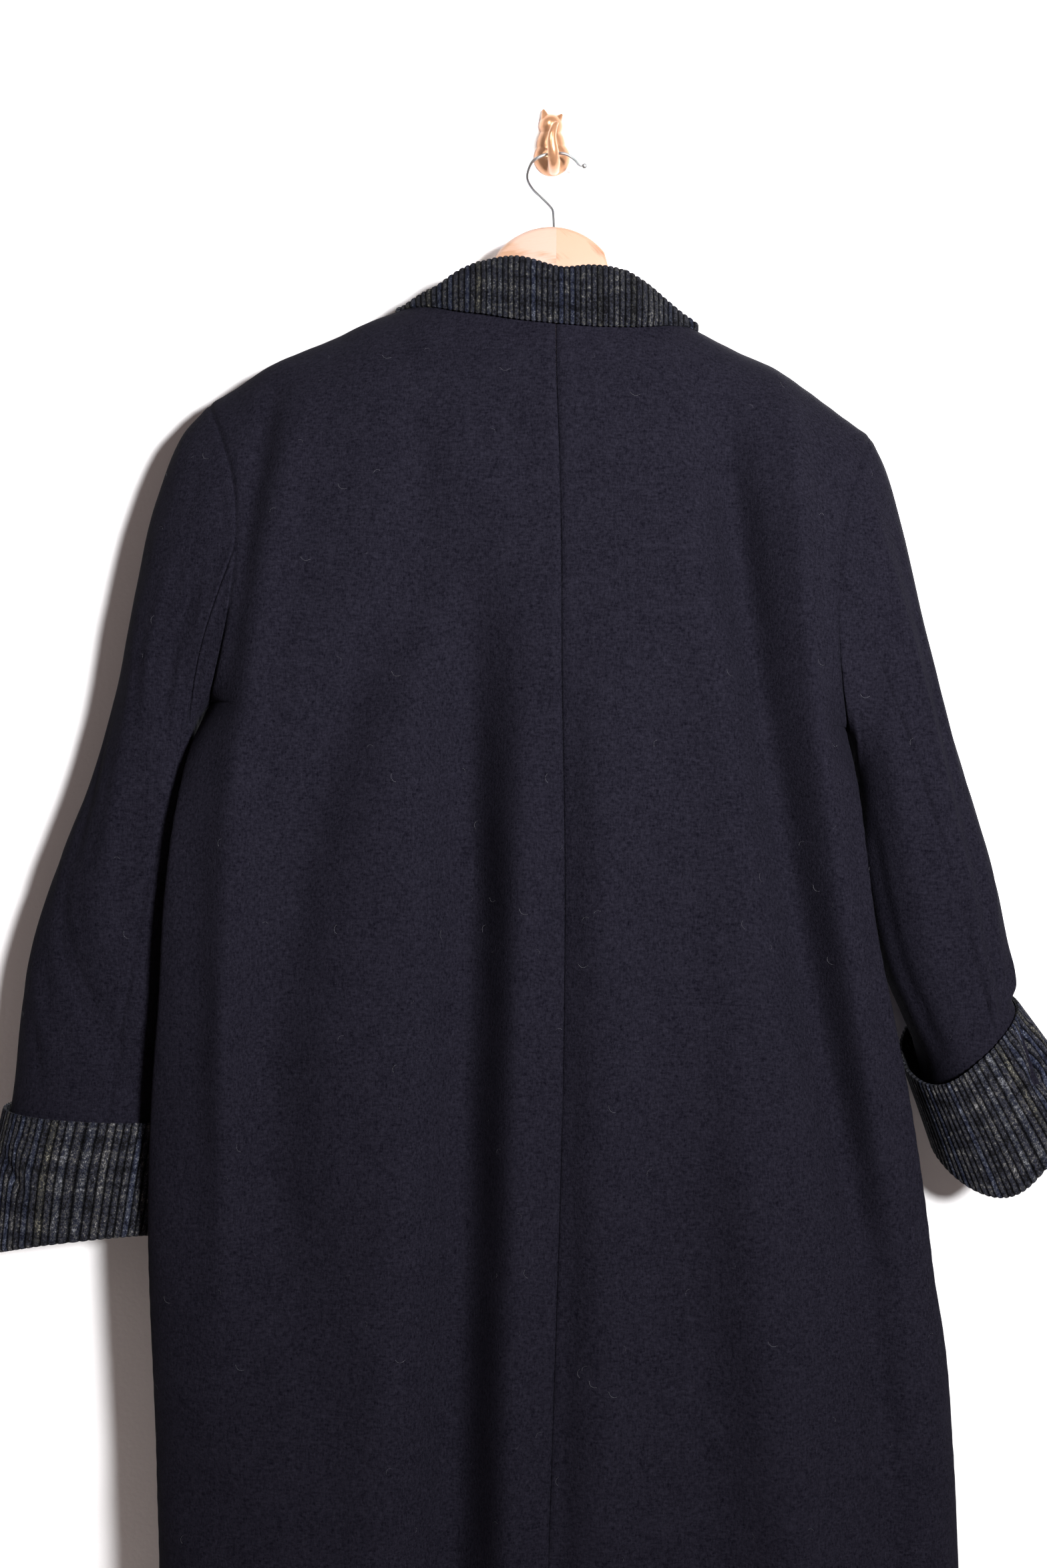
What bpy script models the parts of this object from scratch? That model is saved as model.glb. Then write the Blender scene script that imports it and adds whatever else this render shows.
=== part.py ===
"""Long wool coat with a corduroy collar and turned-back cuffs, on a wooden hanger and a wall hook.

Metres, +Z up. The wall is the plane y = 0 and the room is on its -Y side, with +X to the right
as seen from the room. The coat shows its back to the room. The origin is the middle of the wall
hook's flat back. Heights are kept as "down", the distance below the origin, so z = -down.

Every cloth piece is a wall between a grid of outer points and a grid of inner points. Both are
worked out from the short tables below: outlines first, then depths, then folds.
"""

import functools
import math

import bmesh
import bpy
import numpy as np
from mathutils import Matrix

# Cloth and seams
WOOL = 0.0030               # wall of the melton wool
CORD_BACKING = 0.0020       # plain wall under the corduroy wales
WALE_HEIGHT = 0.0011        # how far a wale stands up
SEAM_GAP = 0.0003           # between two sewn pieces
LIE_GAP = 0.0030            # between the collar's leaf and the fronts it lies on

# Grid sizes
ARM_ROWS = 8                # rows from shoulder tip to underarm
LOW_ROWS = 14               # rows from underarm to hem
SLEEVE_ROWS = 12            # rings along a sleeve, down to the cuff
HIDDEN_ROWS = 2             # and inside the cuff
ROW_POWER = 1.15            # above 1 the rings start closer together at the armhole
RING = 2 * ARM_ROWS         # columns round a whole sleeve
HIND_COLUMNS = 4            # of those, from the sleeve's top to the hindarm seam
FORE_COLUMNS = 5            # and from the top to the forearm seam

# Main places, x or y in metres
SHOULDER_Y = -0.042         # middle of the shoulder, where the hanger's arms lie
NECK_SHARE = 0.31           # neck point, as a share of the way from centre seam to shoulder tip
NECK_DROP_BACK = 0.035      # neckline below the bridged top line at the centre back
NECK_DROP_FRONT = 0.100     # and at the centre front
CENTRE_UNDER = 0.465        # down of the underarm row at the centre seam
HEM = {"centre": 1.335, "left": 1.325, "right": 1.345}
OVERLAP = 0.14              # how far a front passes the centre, as a share of a half width
OVERLAP_REACH = 0.040       # and how far out it still lifts what lies on both
OVERLAP_LIFT = 0.0042       # how far the outer front stands off the inner one
ROUND_BACK = 0.060          # how fast the back rounds over the shoulder
ROUND_FRONT = 0.045         # how fast the fronts round over the shoulder
SIDE_ROUND = 0.009          # rounding of the fronts into the side seam


def table(names, *rows):
    """The columns of a short table, by name."""
    return {name: np.array([row[i] for row in rows], float)
            for i, name in enumerate(names.split())}


# Top line of the coat from shoulder tip to shoulder tip, bridged over the neck opening.
TOP_LINE = table(
    "x down",
    (-0.2702, 0.2199),
    (-0.2503, 0.2078),
    (-0.2241, 0.1905),
    (-0.1952, 0.1774),
    (-0.1716, 0.1679),
    (-0.1481, 0.1564),
    (-0.1150, 0.1440),
    (-0.0815, 0.1310),
    (-0.0400, 0.1175),
    (0.0000, 0.1130),
    (0.0400, 0.1240),
    (0.0794, 0.1430),
    (0.1178, 0.1640),
    (0.1483, 0.1795),
    (0.1745, 0.1910),
    (0.2007, 0.2089),
    (0.2269, 0.2283),
    (0.2510, 0.2456),
)

# The middle of the coat: where the centre seam runs, and the depths of back and fronts.
CENTRE = table(
    "down seam back front",
    (0.113, 0.0021, -0.108, -0.0190),
    (0.160, 0.0021, -0.110, -0.0190),
    (0.200, 0.0021, -0.117, -0.0185),
    (0.260, 0.0040, -0.125, -0.0180),
    (0.340, 0.0056, -0.131, -0.0170),
    (0.440, 0.0060, -0.137, -0.0160),
    (0.560, 0.0078, -0.143, -0.0150),
    (0.700, 0.0072, -0.148, -0.0145),
    (0.830, 0.0041, -0.152, -0.0140),
    (0.980, -0.0008, -0.155, -0.0140),
    (1.110, -0.0048, -0.157, -0.0140),
    (1.340, -0.0080, -0.158, -0.0140),
)

# Each side: shoulder tip, underarm, armhole seam and the outline of the body below it.
# The armhole's "turn" goes from 0 at the tip to 1 at the underarm, even steps being even angles.
SIDES = {
    "left": {
        "sign": -1,
        "tip": (-0.2702, 0.2199),
        "under": (-0.2640, 0.4550),
        "armhole": table(
            "turn back front",
            (0.000, -0.2702, -0.2702),
            (0.125, -0.2650, -0.2620),
            (0.250, -0.2545, -0.2500),
            (0.375, -0.2435, -0.2380),
            (0.500, -0.2411, -0.2320),
            (0.625, -0.2455, -0.2320),
            (0.750, -0.2535, -0.2400),
            (0.875, -0.2605, -0.2530),
            (1.000, -0.2640, -0.2640),
        ),
        "outline": table(
            "down x",
            (0.4550, -0.2640),
            (0.4800, -0.2745),
            (0.5310, -0.2855),
            (0.6065, -0.2950),
            (0.6820, -0.2990),
            (0.7480, -0.3040),
            (0.8350, -0.3076),
            (0.9120, -0.3068),
            (0.9640, -0.3048),
            (1.0410, -0.3023),
            (1.1170, -0.3005),
            (1.3300, -0.3005),
        ),
    },
    "right": {
        "sign": 1,
        "tip": (0.2510, 0.2456),
        "under": (0.2265, 0.4750),
        "armhole": table(
            "turn back front",
            (0.000, 0.2510, 0.2510),
            (0.125, 0.2450, 0.2420),
            (0.250, 0.2335, 0.2310),
            (0.375, 0.2228, 0.2190),
            (0.500, 0.2164, 0.2110),
            (0.625, 0.2163, 0.2100),
            (0.750, 0.2190, 0.2140),
            (0.875, 0.2235, 0.2210),
            (1.000, 0.2265, 0.2265),
        ),
        "outline": table(
            "down x",
            (0.4750, 0.2265),
            (0.5150, 0.2318),
            (0.5710, 0.2372),
            (0.6380, 0.2462),
            (0.6820, 0.2550),
            (0.7370, 0.2660),
            (0.7920, 0.2755),
            (0.8480, 0.2838),
            (0.8970, 0.2900),
            (0.9310, 0.2960),
            (1.0290, 0.3048),
            (1.1180, 0.3094),
            (1.3400, 0.3150),
        ),
    },
}

# Depth of the side seam, and where the fronts turn in to it, by distance below the underarm.
# Between "flat" and "turned", shares of the half width, a front leaves the wall for the side.
SIDE = table(
    "below depth flat turned",
    (-0.24, -0.060, 0.45, 1.00),
    (-0.06, -0.070, 0.60, 1.00),
    (0.000, -0.075, 0.74, 0.975),
    (0.030, -0.094, 0.74, 0.93),
    (0.070, -0.110, 0.70, 0.88),
    (0.150, -0.115, 0.68, 0.86),
    (0.280, -0.113, 0.70, 0.88),
    (0.400, -0.106, 0.74, 0.93),
    (0.550, -0.098, 0.76, 0.97),
    (0.900, -0.092, 0.78, 0.99),
)
ARMHOLE_BACK = 0.054        # how far the armhole stands back from its middle depth
ARMHOLE_FRONT = 0.039       # and forward of it
UNDERARM_Y = -0.075
UNDERARM_EASE = 0.0008      # more room at the armhole seam, under the arm
UNDERARM_ROOM = 0.0005      # and inside, between back and front
UNDERARM_FROM = 0.625       # part of the armhole above which the back doesn't dip to the underarm
UNDERARM_TO = 0.070         # and distance below the underarm
UNDERARM_POWER = 24         # how close to the edge the dip stays

# Shares of a half width at which the panels' columns lie.
SHARES = (0.0, 0.11, 0.21, NECK_SHARE, 0.42, 0.53, 0.64, 0.74, 0.83, 0.90, 0.955, 0.988, 1.0)
FRONT_SHARES = (-OVERLAP, -0.10, 0.05, 0.18) + SHARES[3:]

# The largest folds of the back. Each runs through three points and is a valley where its
# depth is above zero, a ridge where it is below.
BACK_FOLDS = table(
    "x1 down1 x2 down2 x3 down3 width depth",
    (-0.047, 0.42, -0.050, 0.80, -0.070, 1.34, 0.030, 0.0125),
    (-0.010, 0.50, -0.018, 0.85, -0.028, 1.34, 0.024, -0.0060),
    (0.050, 0.46, 0.054, 0.70, 0.050, 1.10, 0.030, -0.0050),
    (0.146, 0.26, 0.190, 0.58, 0.245, 0.86, 0.024, 0.0120),
    (0.206, 0.24, 0.226, 0.55, 0.256, 0.80, 0.016, -0.0050),
    (-0.212, 0.24, -0.228, 0.34, -0.236, 0.42, 0.012, 0.0060),
    (-0.204, 0.28, -0.236, 0.50, -0.238, 0.78, 0.022, -0.0060),
    (-0.100, 0.38, -0.165, 0.55, -0.180, 0.90, 0.034, 0.0050),
    (0.150, 0.74, 0.185, 0.98, 0.200, 1.34, 0.036, -0.0060),
    (0.240, 0.84, 0.262, 1.02, 0.268, 1.34, 0.020, 0.0050),
)
FOLD_FADE = 0.09            # length over which a fold starts and ends
FRONT_FOLDS = table(
    "x1 down1 x2 down2 x3 down3 width depth",
    (-0.130, 0.36, -0.140, 0.80, -0.150, 1.34, 0.030, -0.0070),
    (-0.070, 0.50, -0.075, 0.90, -0.080, 1.34, 0.022, -0.0045),
    (0.110, 0.40, 0.135, 0.80, 0.150, 1.34, 0.030, -0.0070),
    (0.190, 0.60, 0.205, 0.90, 0.210, 1.34, 0.020, -0.0040),
)

# Sleeves: outer and inner profile in the wall's plane, nearest and farthest depth, and where
# the hindarm and forearm seams lie round the ring (0 on top, 0.25 towards the room, 0.5 inside).
# "dip" is how much lower the side towards the room hangs, along the sleeve. The rings that the
# cuff hides come from the cuff.
SLEEVES = {
    "left": table(
        "share outer_x outer_down inner_x inner_down near far dip hind fore",
        (0.00, -0.2702, 0.2199, -0.2640, 0.4550, -0.110, -0.020, 0.000, 0.250, 0.6875),
        (0.05, -0.2900, 0.2440, -0.2722, 0.4670, -0.108, -0.018, 0.000, 0.310, 0.6875),
        (0.12, -0.3100, 0.2950, -0.2748, 0.4800, -0.104, -0.015, 0.000, 0.360, 0.6900),
        (0.22, -0.3250, 0.3644, -0.2720, 0.5000, -0.100, -0.012, 0.000, 0.352, 0.7000),
        (0.33, -0.3390, 0.4400, -0.2670, 0.5300, -0.098, -0.008, 0.000, 0.315, 0.7100),
        (0.44, -0.3590, 0.5080, -0.2630, 0.5700, -0.098, -0.006, 0.000, 0.287, 0.7200),
        (0.55, -0.3862, 0.5800, -0.2630, 0.6150, -0.098, -0.005, 0.000, 0.276, 0.7300),
        (0.66, -0.4076, 0.6480, -0.2670, 0.6650, -0.097, -0.005, 0.000, 0.277, 0.7300),
        (0.77, -0.4178, 0.7150, -0.2760, 0.7200, -0.095, -0.007, -0.002, 0.275, 0.7300),
    ),
    "right": table(
        "share outer_x outer_down inner_x inner_down near far dip hind fore",
        (0.00, 0.2510, 0.2456, 0.2265, 0.4750, -0.110, -0.020, 0.000, 0.250, 0.6875),
        (0.05, 0.2615, 0.2700, 0.2320, 0.4880, -0.108, -0.018, 0.000, 0.254, 0.6875),
        (0.12, 0.2735, 0.3170, 0.2340, 0.5000, -0.105, -0.016, 0.000, 0.258, 0.6900),
        (0.22, 0.2890, 0.3900, 0.2370, 0.5150, -0.103, -0.014, 0.000, 0.255, 0.7000),
        (0.33, 0.3065, 0.4600, 0.2390, 0.5400, -0.102, -0.012, 0.000, 0.242, 0.7100),
        (0.45, 0.3265, 0.5300, 0.2410, 0.5750, -0.102, -0.011, 0.000, 0.228, 0.7200),
        (0.56, 0.3440, 0.5880, 0.2470, 0.6150, -0.101, -0.011, 0.000, 0.221, 0.7300),
        (0.67, 0.3545, 0.6400, 0.2580, 0.6600, -0.099, -0.012, 0.000, 0.215, 0.7300),
        (0.78, 0.3595, 0.6680, 0.2755, 0.7000, -0.098, -0.012, 0.004, 0.212, 0.7300),
    ),
}
CUFF_FROM = {"left": 0.85, "right": 0.88}       # share of the sleeve at the cuff's top edge
WRIST_SEAMS = {"left": (0.300, 0.7300), "right": (0.235, 0.7300)}
RING_POWER = 0.86           # below 1 a ring is fuller than an ellipse
ARMHOLE_REACH = 0.30        # share of the sleeve over which the armhole's shape fades

# Cuffs: rings from the loose top edge (0) to the turned bottom (1). "skew" adds to the dip on
# the outer half and takes from it on the inner half, and "rise" lifts the side near the wall.
# "inset" is how far inside the cuff's valleys the sleeve runs, and "tuck" how much further in its
# inner edge lies.
CUFFS = {
    "left": table(
        "share outer_x outer_down inner_x inner_down near far dip skew rise inset tuck",
        (0.0, -0.4285, 0.7690, -0.2815, 0.7760, -0.1000, -0.0050, 0.0040, 0.0000, 0.0, 0.0052, 0.0000),
        (0.5, -0.4390, 0.8200, -0.2885, 0.8245, -0.1010, -0.0048, -0.0040, 0.0010, 0.0, 0.0050, 0.0000),
        (1.0, -0.4440, 0.8880, -0.2950, 0.8735, -0.1000, -0.0050, -0.0120, 0.0010, 0.0, 0.0046, 0.0000),
    ),
    "right": table(
        "share outer_x outer_down inner_x inner_down near far dip skew rise inset tuck",
        (0.0, 0.3645, 0.6911, 0.2805, 0.7463, -0.1030, -0.0060, 0.0095, -0.0054, 0.030, 0.0032, 0.0100),
        (0.5, 0.3805, 0.7120, 0.2868, 0.7712, -0.1040, -0.0060, 0.0330, -0.0095, 0.015, 0.0040, 0.0060),
        (1.0, 0.3965, 0.7330, 0.2930, 0.7970, -0.1030, -0.0080, 0.0570, -0.0135, 0.000, 0.0046, 0.0000),
    ),
}
CUFF_WALES = {"left": 76, "right": 72}
CUFF_ROWS = (0.0, 0.48, 0.97, 1.0)
CUFF_TURN = 0.0072          # how far the turned bottom reaches in under the sleeve's end
WRIST_RISE = 0.0052         # the sleeve's end above the cuff's bottom

# Collar: over each x, where its leaf runs. "edge" is the free edge on the back, "roll" the fold
# behind the neck, "top" the ridge over the shoulder, and the rest the same on the front. The
# edge and the front lie on the panels, so only their downs are given.
COLLAR = table(
    "x edge_down roll roll_down top top_down fore fore_down front_down",
    (-0.1225, 0.1490, -0.0480, 0.1482, -0.0430, 0.1458, -0.0370, 0.1492, 0.1560),
    (-0.1160, 0.1472, -0.0510, 0.1450, -0.0430, 0.1436, -0.0330, 0.1470, 0.1630),
    (-0.1080, 0.1470, -0.0550, 0.1405, -0.0430, 0.1396, -0.0290, 0.1430, 0.1760),
    (-0.0900, 0.1494, -0.0640, 0.1325, -0.0430, 0.1310, -0.0230, 0.1400, 0.2060),
    (-0.0700, 0.1540, -0.0730, 0.1213, -0.0440, 0.1198, -0.0200, 0.1430, 0.2330),
    (-0.0540, 0.1565, -0.0790, 0.1166, -0.0440, 0.1140, -0.0170, 0.1600, 0.2490),
    (-0.0300, 0.1612, -0.0860, 0.1142, -0.0440, 0.1110, -0.0160, 0.1930, 0.2620),
    (0.0080, 0.1656, -0.0890, 0.1232, -0.0440, 0.1110, -0.0150, 0.2050, 0.2690),
    (0.0300, 0.1670, -0.0865, 0.1212, -0.0440, 0.1130, -0.0160, 0.1990, 0.2650),
    (0.0540, 0.1670, -0.0800, 0.1236, -0.0440, 0.1190, -0.0170, 0.1750, 0.2540),
    (0.0700, 0.1660, -0.0740, 0.1312, -0.0440, 0.1300, -0.0200, 0.1560, 0.2400),
    (0.0900, 0.1632, -0.0640, 0.1450, -0.0430, 0.1446, -0.0240, 0.1510, 0.2110),
    (0.1010, 0.1620, -0.0560, 0.1518, -0.0430, 0.1515, -0.0290, 0.1560, 0.1890),
    (0.1080, 0.1616, -0.0520, 0.1556, -0.0430, 0.1552, -0.0330, 0.1590, 0.1760),
    (0.1136, 0.1640, -0.0480, 0.1590, -0.0430, 0.1582, -0.0370, 0.1600, 0.1680),
)
COLLAR_ENDS = (-0.1225, 0.1136)
NECK_SIDE = 0.054           # half width of the neck opening at the roll
COLLAR_SLIT = 0.0045        # half width between the collar's ends at the front
COLLAR_WALES = 56
INNER_STEP = 4              # corduroy points for each point of the plain inside
ROLL_ROW, TOP_ROW, FORE_ROW = 3, 5, 6
LEAF_LIFT = 0.0022          # free edge of the leaf off the back
LEAF_SWELL = 0.0030         # how far the leaf bows out between edge and roll

# Collar stand, from the neckline up to the leaf's opening
STAND_WALL = 0.0022
STAND_CLEAR = 0.0006        # inside the edge of the leaf's opening
STAND_RISE = 0.0003
STAND_SLIT = 0.0040
STAND_SPANS = (8, 16, 8)    # spans along left front, back and right front
NECK_AXIS = (0.0, -0.052)

# Hanger
HANGER_Y = -0.0465
HANGER_THICK = 0.012
JOINT_X = 0.0030            # where the two halves meet
HUMP_X = -0.0010            # middle of the hump's round
HUMP_DOWN = 0.134
HUMP_RADIUS = 0.054
HUMP_OUT = 0.044            # where the hump's round ends
NECK_OUT = 0.083            # and where the arm goes in under the shoulder
HUMP_STEPS = np.array([0.0, 0.010, 0.020, 0.029, 0.037, 0.044, 0.048, 0.055, 0.067])
ARM_STEPS = 7
ARM_CLEAR = 0.0115          # below the outer face of the shoulder, upright
ARM_ENDS = {"left": -0.2170, "right": 0.2100}
ARM_DEEP = {"middle": 0.052, "neck": 0.036, "end": 0.027}
ARM_ROUND = 0.0040

# Hanger's wire hook, from the hump up and over the prong to its ball
WIRE_RADIUS = 0.0012
WIRE_STEPS = 3
WIRE_ROUTE = (
    (0.0011, -0.0470, -0.0797),
    (0.0007, -0.0450, -0.0690),
    (-0.0005, -0.0430, -0.0640),
    (-0.0071, -0.0400, -0.0560),
    (-0.0156, -0.0360, -0.0466),
    (-0.0198, -0.0325, -0.0370),
    (-0.0175, -0.0285, -0.0260),
    (-0.0127, -0.0250, -0.0195),
    (-0.0041, -0.0228, -0.0153),
    (0.0015, -0.0220, -0.0142),
    (0.0064, -0.0224, -0.0145),
    (0.0122, -0.0240, -0.0160),
    (0.0180, -0.0255, -0.0205),
    (0.0216, -0.0270, -0.0250),
    (0.0258, -0.0280, -0.0262),
)
WIRE_BALL = 0.0024

# Wall hook
CAT_BODY = ((0.0003, 0.0, -0.0120), (0.0148, 0.0120, 0.0148))
CAT_SHOULDERS = ((-0.0018, 0.0, -0.0035), (0.0115, 0.0110, 0.0125))
CAT_HEAD = ((-0.0005, 0.0, 0.0134), (0.0099, 0.0120, 0.0099))
CAT_EARS = (
    ((-0.0048, -0.0040, 0.0190), (-0.0068, -0.0046, 0.0263)),
    ((0.0046, -0.0040, 0.0175), (0.0087, -0.0046, 0.0224)),
)
EAR_RADIUS = 0.0040
EAR_TIP = 0.0005
CAT_TAIL = (
    (0.0017, -0.0050, -0.0225),
    (0.0017, -0.0150, -0.0225),
    (0.0015, -0.0235, -0.0205),
    (0.0012, -0.0290, -0.0140),
    (0.0005, -0.0315, -0.0040),
    (0.0010, -0.0322, 0.0050),
    (0.0030, -0.0312, 0.0125),
    (0.0045, -0.0295, 0.0158),
)
TAIL_STEPS = 3
TAIL_TAPER = ((0.0, 0.35, 1.0), (0.0048, 0.0042, 0.0021))   # share of its length, radius
CAT_CUT = 0.1               # side of the cube that cuts the cat flat at the wall

# Buttons on the hidden front
BUTTONS = 3
BUTTON_RADIUS = 0.0140
BUTTON_THICK = 0.0040
BUTTON_ROUND = 0.0012
BUTTON_FIRST = 0.330        # down of the first button
BUTTON_STEP = 0.155

# Colours
WOOL_NAVY = (0.012, 0.012, 0.020)
CORD_GREY = (0.045, 0.048, 0.055)
BEECH = (0.75, 0.52, 0.33)
CHROME = (0.60, 0.60, 0.60)
COPPER = (0.72, 0.38, 0.20)
HORN = (0.03, 0.02, 0.015)


def smooth(columns, key, name, at):
    """Smooth curve through one column of a table, over another column."""
    keys, values = columns[key], columns[name]
    at = np.clip(at, keys[0], keys[-1])
    slopes = np.gradient(values, keys)
    index = np.clip(np.searchsorted(keys, at) - 1, 0, len(keys) - 2)
    step = keys[index + 1] - keys[index]
    t = (at - keys[index]) / step
    start = (2 * t**3 - 3 * t**2 + 1) * values[index] + (t**3 - 2 * t**2 + t) * slopes[index] * step
    end = (3 * t**2 - 2 * t**3) * values[index + 1] + (t**3 - t**2) * slopes[index + 1] * step
    return start + end


def ease(low, high, at):
    """0 below low, 1 above high, and a soft step between."""
    t = np.clip((at - low) / (high - low), 0, 1)
    return t * t * (3 - 2 * t)


def blend(a, b, share):
    return a + (b - a) * share


def unit(vectors):
    return vectors / np.maximum(np.linalg.norm(vectors, axis=-1, keepdims=True), 1e-12)


def fold_depth(folds, x, down):
    """How far the folds move a point of the cloth inwards."""
    total = np.zeros(np.broadcast(x, down).shape)
    for x1, down1, x2, down2, x3, down3, width, depth in zip(*folds.values()):
        run = (down - down1) / (down3 - down1)
        middle = (down2 - down1) / (down3 - down1)
        bend = (x2 - blend(x1, x3, middle)) / (middle * (1 - middle))
        line = blend(x1, x3, run) + bend * run * (1 - run)
        fade = ease(down1 - FOLD_FADE, down1 + FOLD_FADE, down)
        fade = fade * (1 - ease(down3 - FOLD_FADE, down3 + FOLD_FADE, down) * (down3 < 1.3))
        total = total + depth * fade * np.exp(-((x - line) / width) ** 2)
    return total


def edge_line(side):
    """Outer edge of the body's panels, row by row: armhole first, then side seam."""
    data = SIDES[side]
    turn = np.arange(ARM_ROWS + 1) / ARM_ROWS
    share = (1 - np.cos(math.pi * turn)) / 2
    arm_down = blend(data["tip"][1], data["under"][1], share)
    middle = blend(SHOULDER_Y, UNDERARM_Y, share)
    belly = np.sin(math.pi * turn) ** 0.8
    low = np.arange(1, LOW_ROWS + 1) / LOW_ROWS
    low_down = blend(data["under"][1], HEM[side], low)
    low_x = smooth(data["outline"], "down", "x", low_down)
    low_y = smooth(SIDE, "below", "depth", low_down - data["under"][1])
    arm_back = smooth(data["armhole"], "turn", "back", turn)
    arm_front = smooth(data["armhole"], "turn", "front", turn)
    return {
        "down": np.concatenate([arm_down, low_down]),
        "share": np.concatenate([share, np.ones(LOW_ROWS)]),
        "back_x": np.concatenate([arm_back, low_x]),
        "back_y": np.concatenate([middle - ARMHOLE_BACK * belly, low_y]),
        "front_x": np.concatenate([arm_front, low_x]),
        "front_y": np.concatenate([middle + ARMHOLE_FRONT * belly, low_y]),
    }


def beside_underarm(edge):
    """The back edge's depths without its dip to the underarm, for the cloth beside it."""
    low = len(edge["down"]) - LOW_ROWS - 1
    start = round(UNDERARM_FROM * ARM_ROWS)
    stop = np.argmax(edge["down"] > edge["down"][low] + UNDERARM_TO)
    ends = [start, stop]
    level = np.interp(edge["down"], edge["down"][ends], edge["back_y"][ends])
    inside = (np.arange(len(edge["down"])) > start) & (np.arange(len(edge["down"])) < stop)
    return np.where(inside, level, edge["back_y"])


def neck_drop(x, side, deepest):
    """How far the neckline lies below the bridged top line."""
    seam = CENTRE["seam"][0]
    point = blend(seam, SIDES[side]["tip"][0], NECK_SHARE)
    share = np.clip(np.abs((x - seam) / (point - seam)), 0, 1)
    return deepest * np.sqrt(1 - share**2)


@functools.lru_cache(maxsize=None)
def body_grid(side, face):
    """Outer points of one back or front panel, as rows from the top down."""
    edge = edge_line(side)
    back = face == "back"
    shares = np.array(SHARES if back else FRONT_SHARES)
    edge_x, edge_y = edge[face + "_x"], edge[face + "_y"]
    seam0 = CENTRE["seam"][0]
    width0 = SIDES[side]["tip"][0] - seam0
    top_x = seam0 + shares * width0
    inside = np.abs(shares)
    drop = neck_drop(top_x, side, NECK_DROP_BACK if back else NECK_DROP_FRONT)
    top = smooth(TOP_LINE, "x", "down", top_x) + np.where(inside < NECK_SHARE, drop, 0)
    under = blend(CENTRE_UNDER, SIDES[side]["under"][1], inside**2)
    hem = blend(HEM["centre"], HEM[side], inside)
    arm = top + np.outer(edge["share"][:ARM_ROWS + 1], np.ones(len(shares))) * (under - top)
    low = under + np.outer(np.arange(1, LOW_ROWS + 1) / LOW_ROWS, np.ones(len(shares))) * (hem - under)
    down = np.concatenate([arm, low])
    seam = smooth(CENTRE, "down", "seam", down)
    x = seam + shares * (edge_x[:, None] - seam)
    height = np.maximum(down - smooth(TOP_LINE, "x", "down", x), 0)
    below = (edge["down"] - SIDES[side]["under"][1])[:, None]
    if back:
        flat = smooth(CENTRE, "down", "back", down)
        centre = SHOULDER_Y + (flat - SHOULDER_Y) * np.sqrt(1 - np.exp(-height / ROUND_BACK))
        rounded = 1 - np.sqrt(np.maximum(1 - inside**4, 0))
        turn = blend(inside**4, rounded, ease(-0.14, 0.05, below))
        beside = beside_underarm(edge)
        y = blend(centre, beside[:, None], turn) + np.outer(edge_y - beside, inside**UNDERARM_POWER)
        calm = (1 - inside**8) * ease(0, 0.05, height)
        y = y + fold_depth(BACK_FOLDS, x, down) * calm
    else:
        flat = smooth(CENTRE, "down", "front", down)
        centre = SHOULDER_Y + (flat - SHOULDER_Y) * np.sqrt(1 - np.exp(-height / ROUND_FRONT))
        flat_share = smooth(SIDE, "below", "flat", below)
        turned_share = smooth(SIDE, "below", "turned", below)
        turn = ease(flat_share, turned_share, inside)
        y = blend(centre, edge_y[:, None], turn)
        y = y + ease(-0.02, 0.06, below) * SIDE_ROUND * np.sqrt(np.maximum(1 - inside**20, 0)) * turn
        calm = (1 - turn) * ease(0, 0.05, height)
        y = y + fold_depth(FRONT_FOLDS, x, down) * calm
        if side == "right":
            y = y + OVERLAP_LIFT * (1 - ease(0.2, 0.42, shares)) * ease(0.02, 0.08, height)
    return np.stack([x, y, -down], axis=-1)


def grid_normals(points, outward):
    """Unit normals of a grid, turned to the side that the outward vector points to."""
    along = np.gradient(points, axis=0)
    across = np.gradient(points, axis=1)
    normal = unit(np.cross(along, across))
    facing = np.sign(np.sum(normal * outward, axis=-1, keepdims=True))
    facing[facing == 0] = 1
    centre_sign = np.sign(np.sum(facing))
    return normal * centre_sign


def body_panel(side, face):
    """Outer and inner points of one back or front panel."""
    outer = body_grid(side, face)
    facing = -1 if face == "back" else 1
    sign = SIDES[side]["sign"]
    normal = grid_normals(outer, np.array([0, facing, 0]))
    ring = armhole_normals(side)
    arm = ring[:ARM_ROWS + 1] if face == "back" else ring[ARM_ROWS:][::-1]
    normal[:ARM_ROWS + 1, -1] = arm
    normal[ARM_ROWS + 1:, -1] = (sign, 0, 0)
    first = SHARES.index(NECK_SHARE) if face == "back" else FRONT_SHARES.index(NECK_SHARE)
    run = np.gradient(outer[0, :, 2], outer[0, :, 0])
    upward = unit(np.stack([-run, np.zeros_like(run), np.ones_like(run)], axis=-1))
    normal[0, first:-1] = upward[first:-1]
    if face == "back":
        along = unit(np.gradient(outer[:, 0], axis=0))
        room = np.array([0, -1.0, 0])
        normal[:, 0] = unit(room - along * np.sum(along * room, axis=-1, keepdims=True))
    inner = outer - WOOL * normal
    seam_depth = outer[ARM_ROWS:, -1:, 1] * facing
    inner[ARM_ROWS:, :, 1] = np.maximum(inner[ARM_ROWS:, :, 1] * facing, seam_depth) * facing
    inner[ARM_ROWS, -1, 1] += facing * UNDERARM_ROOM
    half_gap = np.zeros_like(outer)
    if face == "back":
        half_gap[:, 0, 0] += sign * SEAM_GAP / 2
    half_gap[0, first:, 1] += facing * SEAM_GAP / 2
    half_gap[ARM_ROWS:, -1, 1] += facing * SEAM_GAP / 2
    half_gap[ARM_ROWS, -1, 1] += facing * SEAM_GAP / 2
    half_gap[:ARM_ROWS + 1, -1, 0] -= sign * SEAM_GAP / 2
    return outer + half_gap, inner + half_gap


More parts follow.
